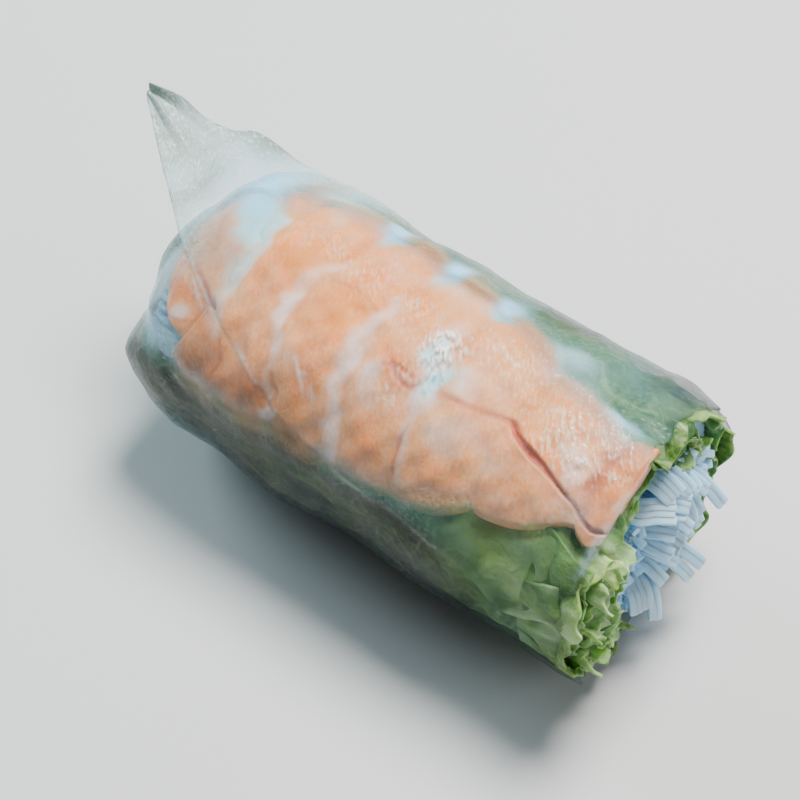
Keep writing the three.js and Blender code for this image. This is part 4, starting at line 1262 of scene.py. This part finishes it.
def bundle_core(sizes):
    """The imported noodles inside, whose outside shows as strands through the film."""
    closed = np.linspace(POLE_X + 1.2, SHOULDER_X, 34)
    along = np.concatenate([closed, np.linspace(SHOULDER_X, CUT_X - 1.4, 78)[1:]])[:, None]
    degrees = np.arange(CORE_COLUMNS) * 360 / CORE_COLUMNS
    places = skin(along, degrees, 3)
    beside = prawn_cover(along, degrees - 4) + prawn_cover(along, degrees + 4)
    prawn = np.maximum(prawn_cover(along, degrees), smooth(beside, 0, 1))
    end = (1 - smooth(along, -36, -31)) * (0.15 + 0.2 * ripples(60, 9, places))
    bare = np.maximum(band(degrees, -92, -14, -6, 12, 24), end)
    inner = band(degrees, 130, 0, 8, 94, 102) * smooth(along, -24, -14)
    depth = mix(mix(3.1, 6.4, prawn), 1.2, np.clip(bare, 0, 1) * (1 - prawn))
    depth = depth + 2.2 * inner * (1 - prawn)
    wander = 1.6 * ripples(61, 16, places) + 0.04 * along
    position = (degrees * ARC * 0.86 + wander) / NOODLE_PITCH
    across = 2 * (position % 1) - 1
    depth = depth + 0.95 * (1 - np.sqrt(np.clip(1 - across**2, 0, 1)))
    depth = np.maximum(depth, under_film(sizes, along, degrees) + 0.1)
    pale = 0.5 + 0.5 * np.sin(np.floor(position) * 2.4)
    return shell(skin(along, degrees, depth), {"pale": pale})


class VermicelliOperator(bpy.types.Operator):
    """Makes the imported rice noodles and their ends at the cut"""

    bl_idname = "rice_roll.vermicelli"
    bl_label = "Vermicelli"

    def execute(self, context):
        sizes = context.scene.roll_sizes
        finish = noodle_finish(context.scene.roll_colours)
        make_piece("vermicelli_core", [bundle_core(sizes)], finish, "vermicelli")
        make_piece("vermicelli_ends", noodle_bundle(sizes), finish, "vermicelli")
        return {"FINISHED"}


# Stage --------

CAMERA_AT = Vector((132.1, -125.9, 239.8)) * MM
CAMERA_UP = Vector((-0.4745, 0.6293, 0.6155))
CAMERA_LENS, CAMERA_SENSOR = 92.0, 36
CAMERA_AIM = Vector((1.5, 0.0, 19.0)) * MM
# Lights: name, place, size, watts and tint
LIGHTS = (
    ("key", (0.06, 0.23, 0.64), 0.30, 12.2, (1.0, 0.98, 0.96)),
    ("fill", (0.62, 0.10, 0.40), 0.5, 1.5, (0.86, 0.94, 1.0)),
    ("side", (-0.60, 0.03, 0.34), 0.4, 4.6, (0.66, 0.90, 1.0)),
)
LIGHT_AIM, LIGHT_UP = Vector((0, 0, 0.02)), Vector((0, 1, 0.1))
SKY_COLOUR, SKY_STRENGTH = (0.86, 0.93, 1.0, 1), 0.12
FLOOR_HALF, FLOOR_Z = 3.0, -5e-5


def look(place, aim, up):
    """Turns an object at a place so that it looks at the aim with that side up."""
    back = (place - aim).normalized()
    right = up.cross(back).normalized()
    turn = Matrix((right, back.cross(right), back)).transposed()
    return Matrix.Translation(place) @ turn.to_4x4()


def add_floor(scene):
    f = Finish("pale_floor")
    pale = scene.roll_colours.floor
    tint = f.paint(pale, (f.cloud(60.0, 2.0), [c * 0.97 for c in pale]))
    mesh = bpy.data.meshes.new("floor")
    around = ((-1, -1), (1, -1), (1, 1), (-1, 1))
    corners = [(x * FLOOR_HALF, y * FLOOR_HALF, FLOOR_Z) for x, y in around]
    mesh.from_pydata(corners, [], [(0, 1, 2, 3)])
    mesh.materials.append(f.end(f.principled(base_color=tint, roughness=0.7)))
    ground = bpy.data.objects.new("floor", mesh)
    scene.collection.objects.link(ground)


class StageOperator(bpy.types.Operator):
    """Adds the pale floor, the soft lights and the camera"""

    bl_idname = "rice_roll.stage"
    bl_label = "Stage"

    def execute(self, context):
        scene = context.scene
        add_floor(scene)
        for name, place, size, watts, tint in LIGHTS:
            lamp = bpy.data.lights.new(name, "AREA")
            lamp.shape, lamp.size, lamp.energy, lamp.color = "DISK", size, watts, tint
            light = bpy.data.objects.new(name, lamp)
            scene.collection.objects.link(light)
            light.matrix_world = look(Vector(place), LIGHT_AIM, LIGHT_UP)
        world = bpy.data.worlds.new("studio")
        world.use_nodes = True
        sky = world.node_tree.nodes["Background"]
        sky.inputs["Color"].default_value = SKY_COLOUR
        sky.inputs["Strength"].default_value = SKY_STRENGTH
        scene.world = world
        camera = bpy.data.objects.new("camera", bpy.data.cameras.new("camera"))
        camera.data.lens, camera.data.sensor_width = CAMERA_LENS, CAMERA_SENSOR
        camera.data.clip_start, camera.data.clip_end = 0.01, 20
        camera.matrix_world = look(CAMERA_AT + Vector(SHIFT) * MM, CAMERA_AIM, CAMERA_UP)
        scene.collection.objects.link(camera)
        scene.camera = camera
        return {"FINISHED"}


# Panel and start --------

OPERATORS = (FilmOperator, PrawnOperator, LettuceOperator, VermicelliOperator, StageOperator)


class RollPanel(bpy.types.Panel):
    """Sizes, colours and steps of the rice paper roll"""

    bl_idname = "VIEW3D_PT_rice_roll"
    bl_label = "Rice paper roll"
    bl_space_type = "VIEW_3D"
    bl_region_type = "UI"
    bl_category = "Rice roll"

    def draw(self, context):
        for group in (context.scene.roll_sizes, context.scene.roll_colours):
            box = self.layout.box()
            for name in group.__annotations__:
                box.prop(group, name)
        for operator in OPERATORS:
            self.layout.operator(operator.bl_idname)


CLASSES = (RollSizes, RollColours, *OPERATORS, RollPanel)


def register():
    for cls in CLASSES:
        bpy.utils.register_class(cls)
    bpy.types.Scene.roll_sizes = PointerProperty(type=RollSizes)
    bpy.types.Scene.roll_colours = PointerProperty(type=RollColours)


def unregister():
    del bpy.types.Scene.roll_colours
    del bpy.types.Scene.roll_sizes
    for cls in reversed(CLASSES):
        bpy.utils.unregister_class(cls)


def main():
    register()
    bpy.ops.rice_roll.film()
    bpy.ops.rice_roll.prawns()
    bpy.ops.rice_roll.lettuce()
    bpy.ops.rice_roll.vermicelli()
    bpy.ops.rice_roll.stage()


if __name__ == "__main__":
    main()
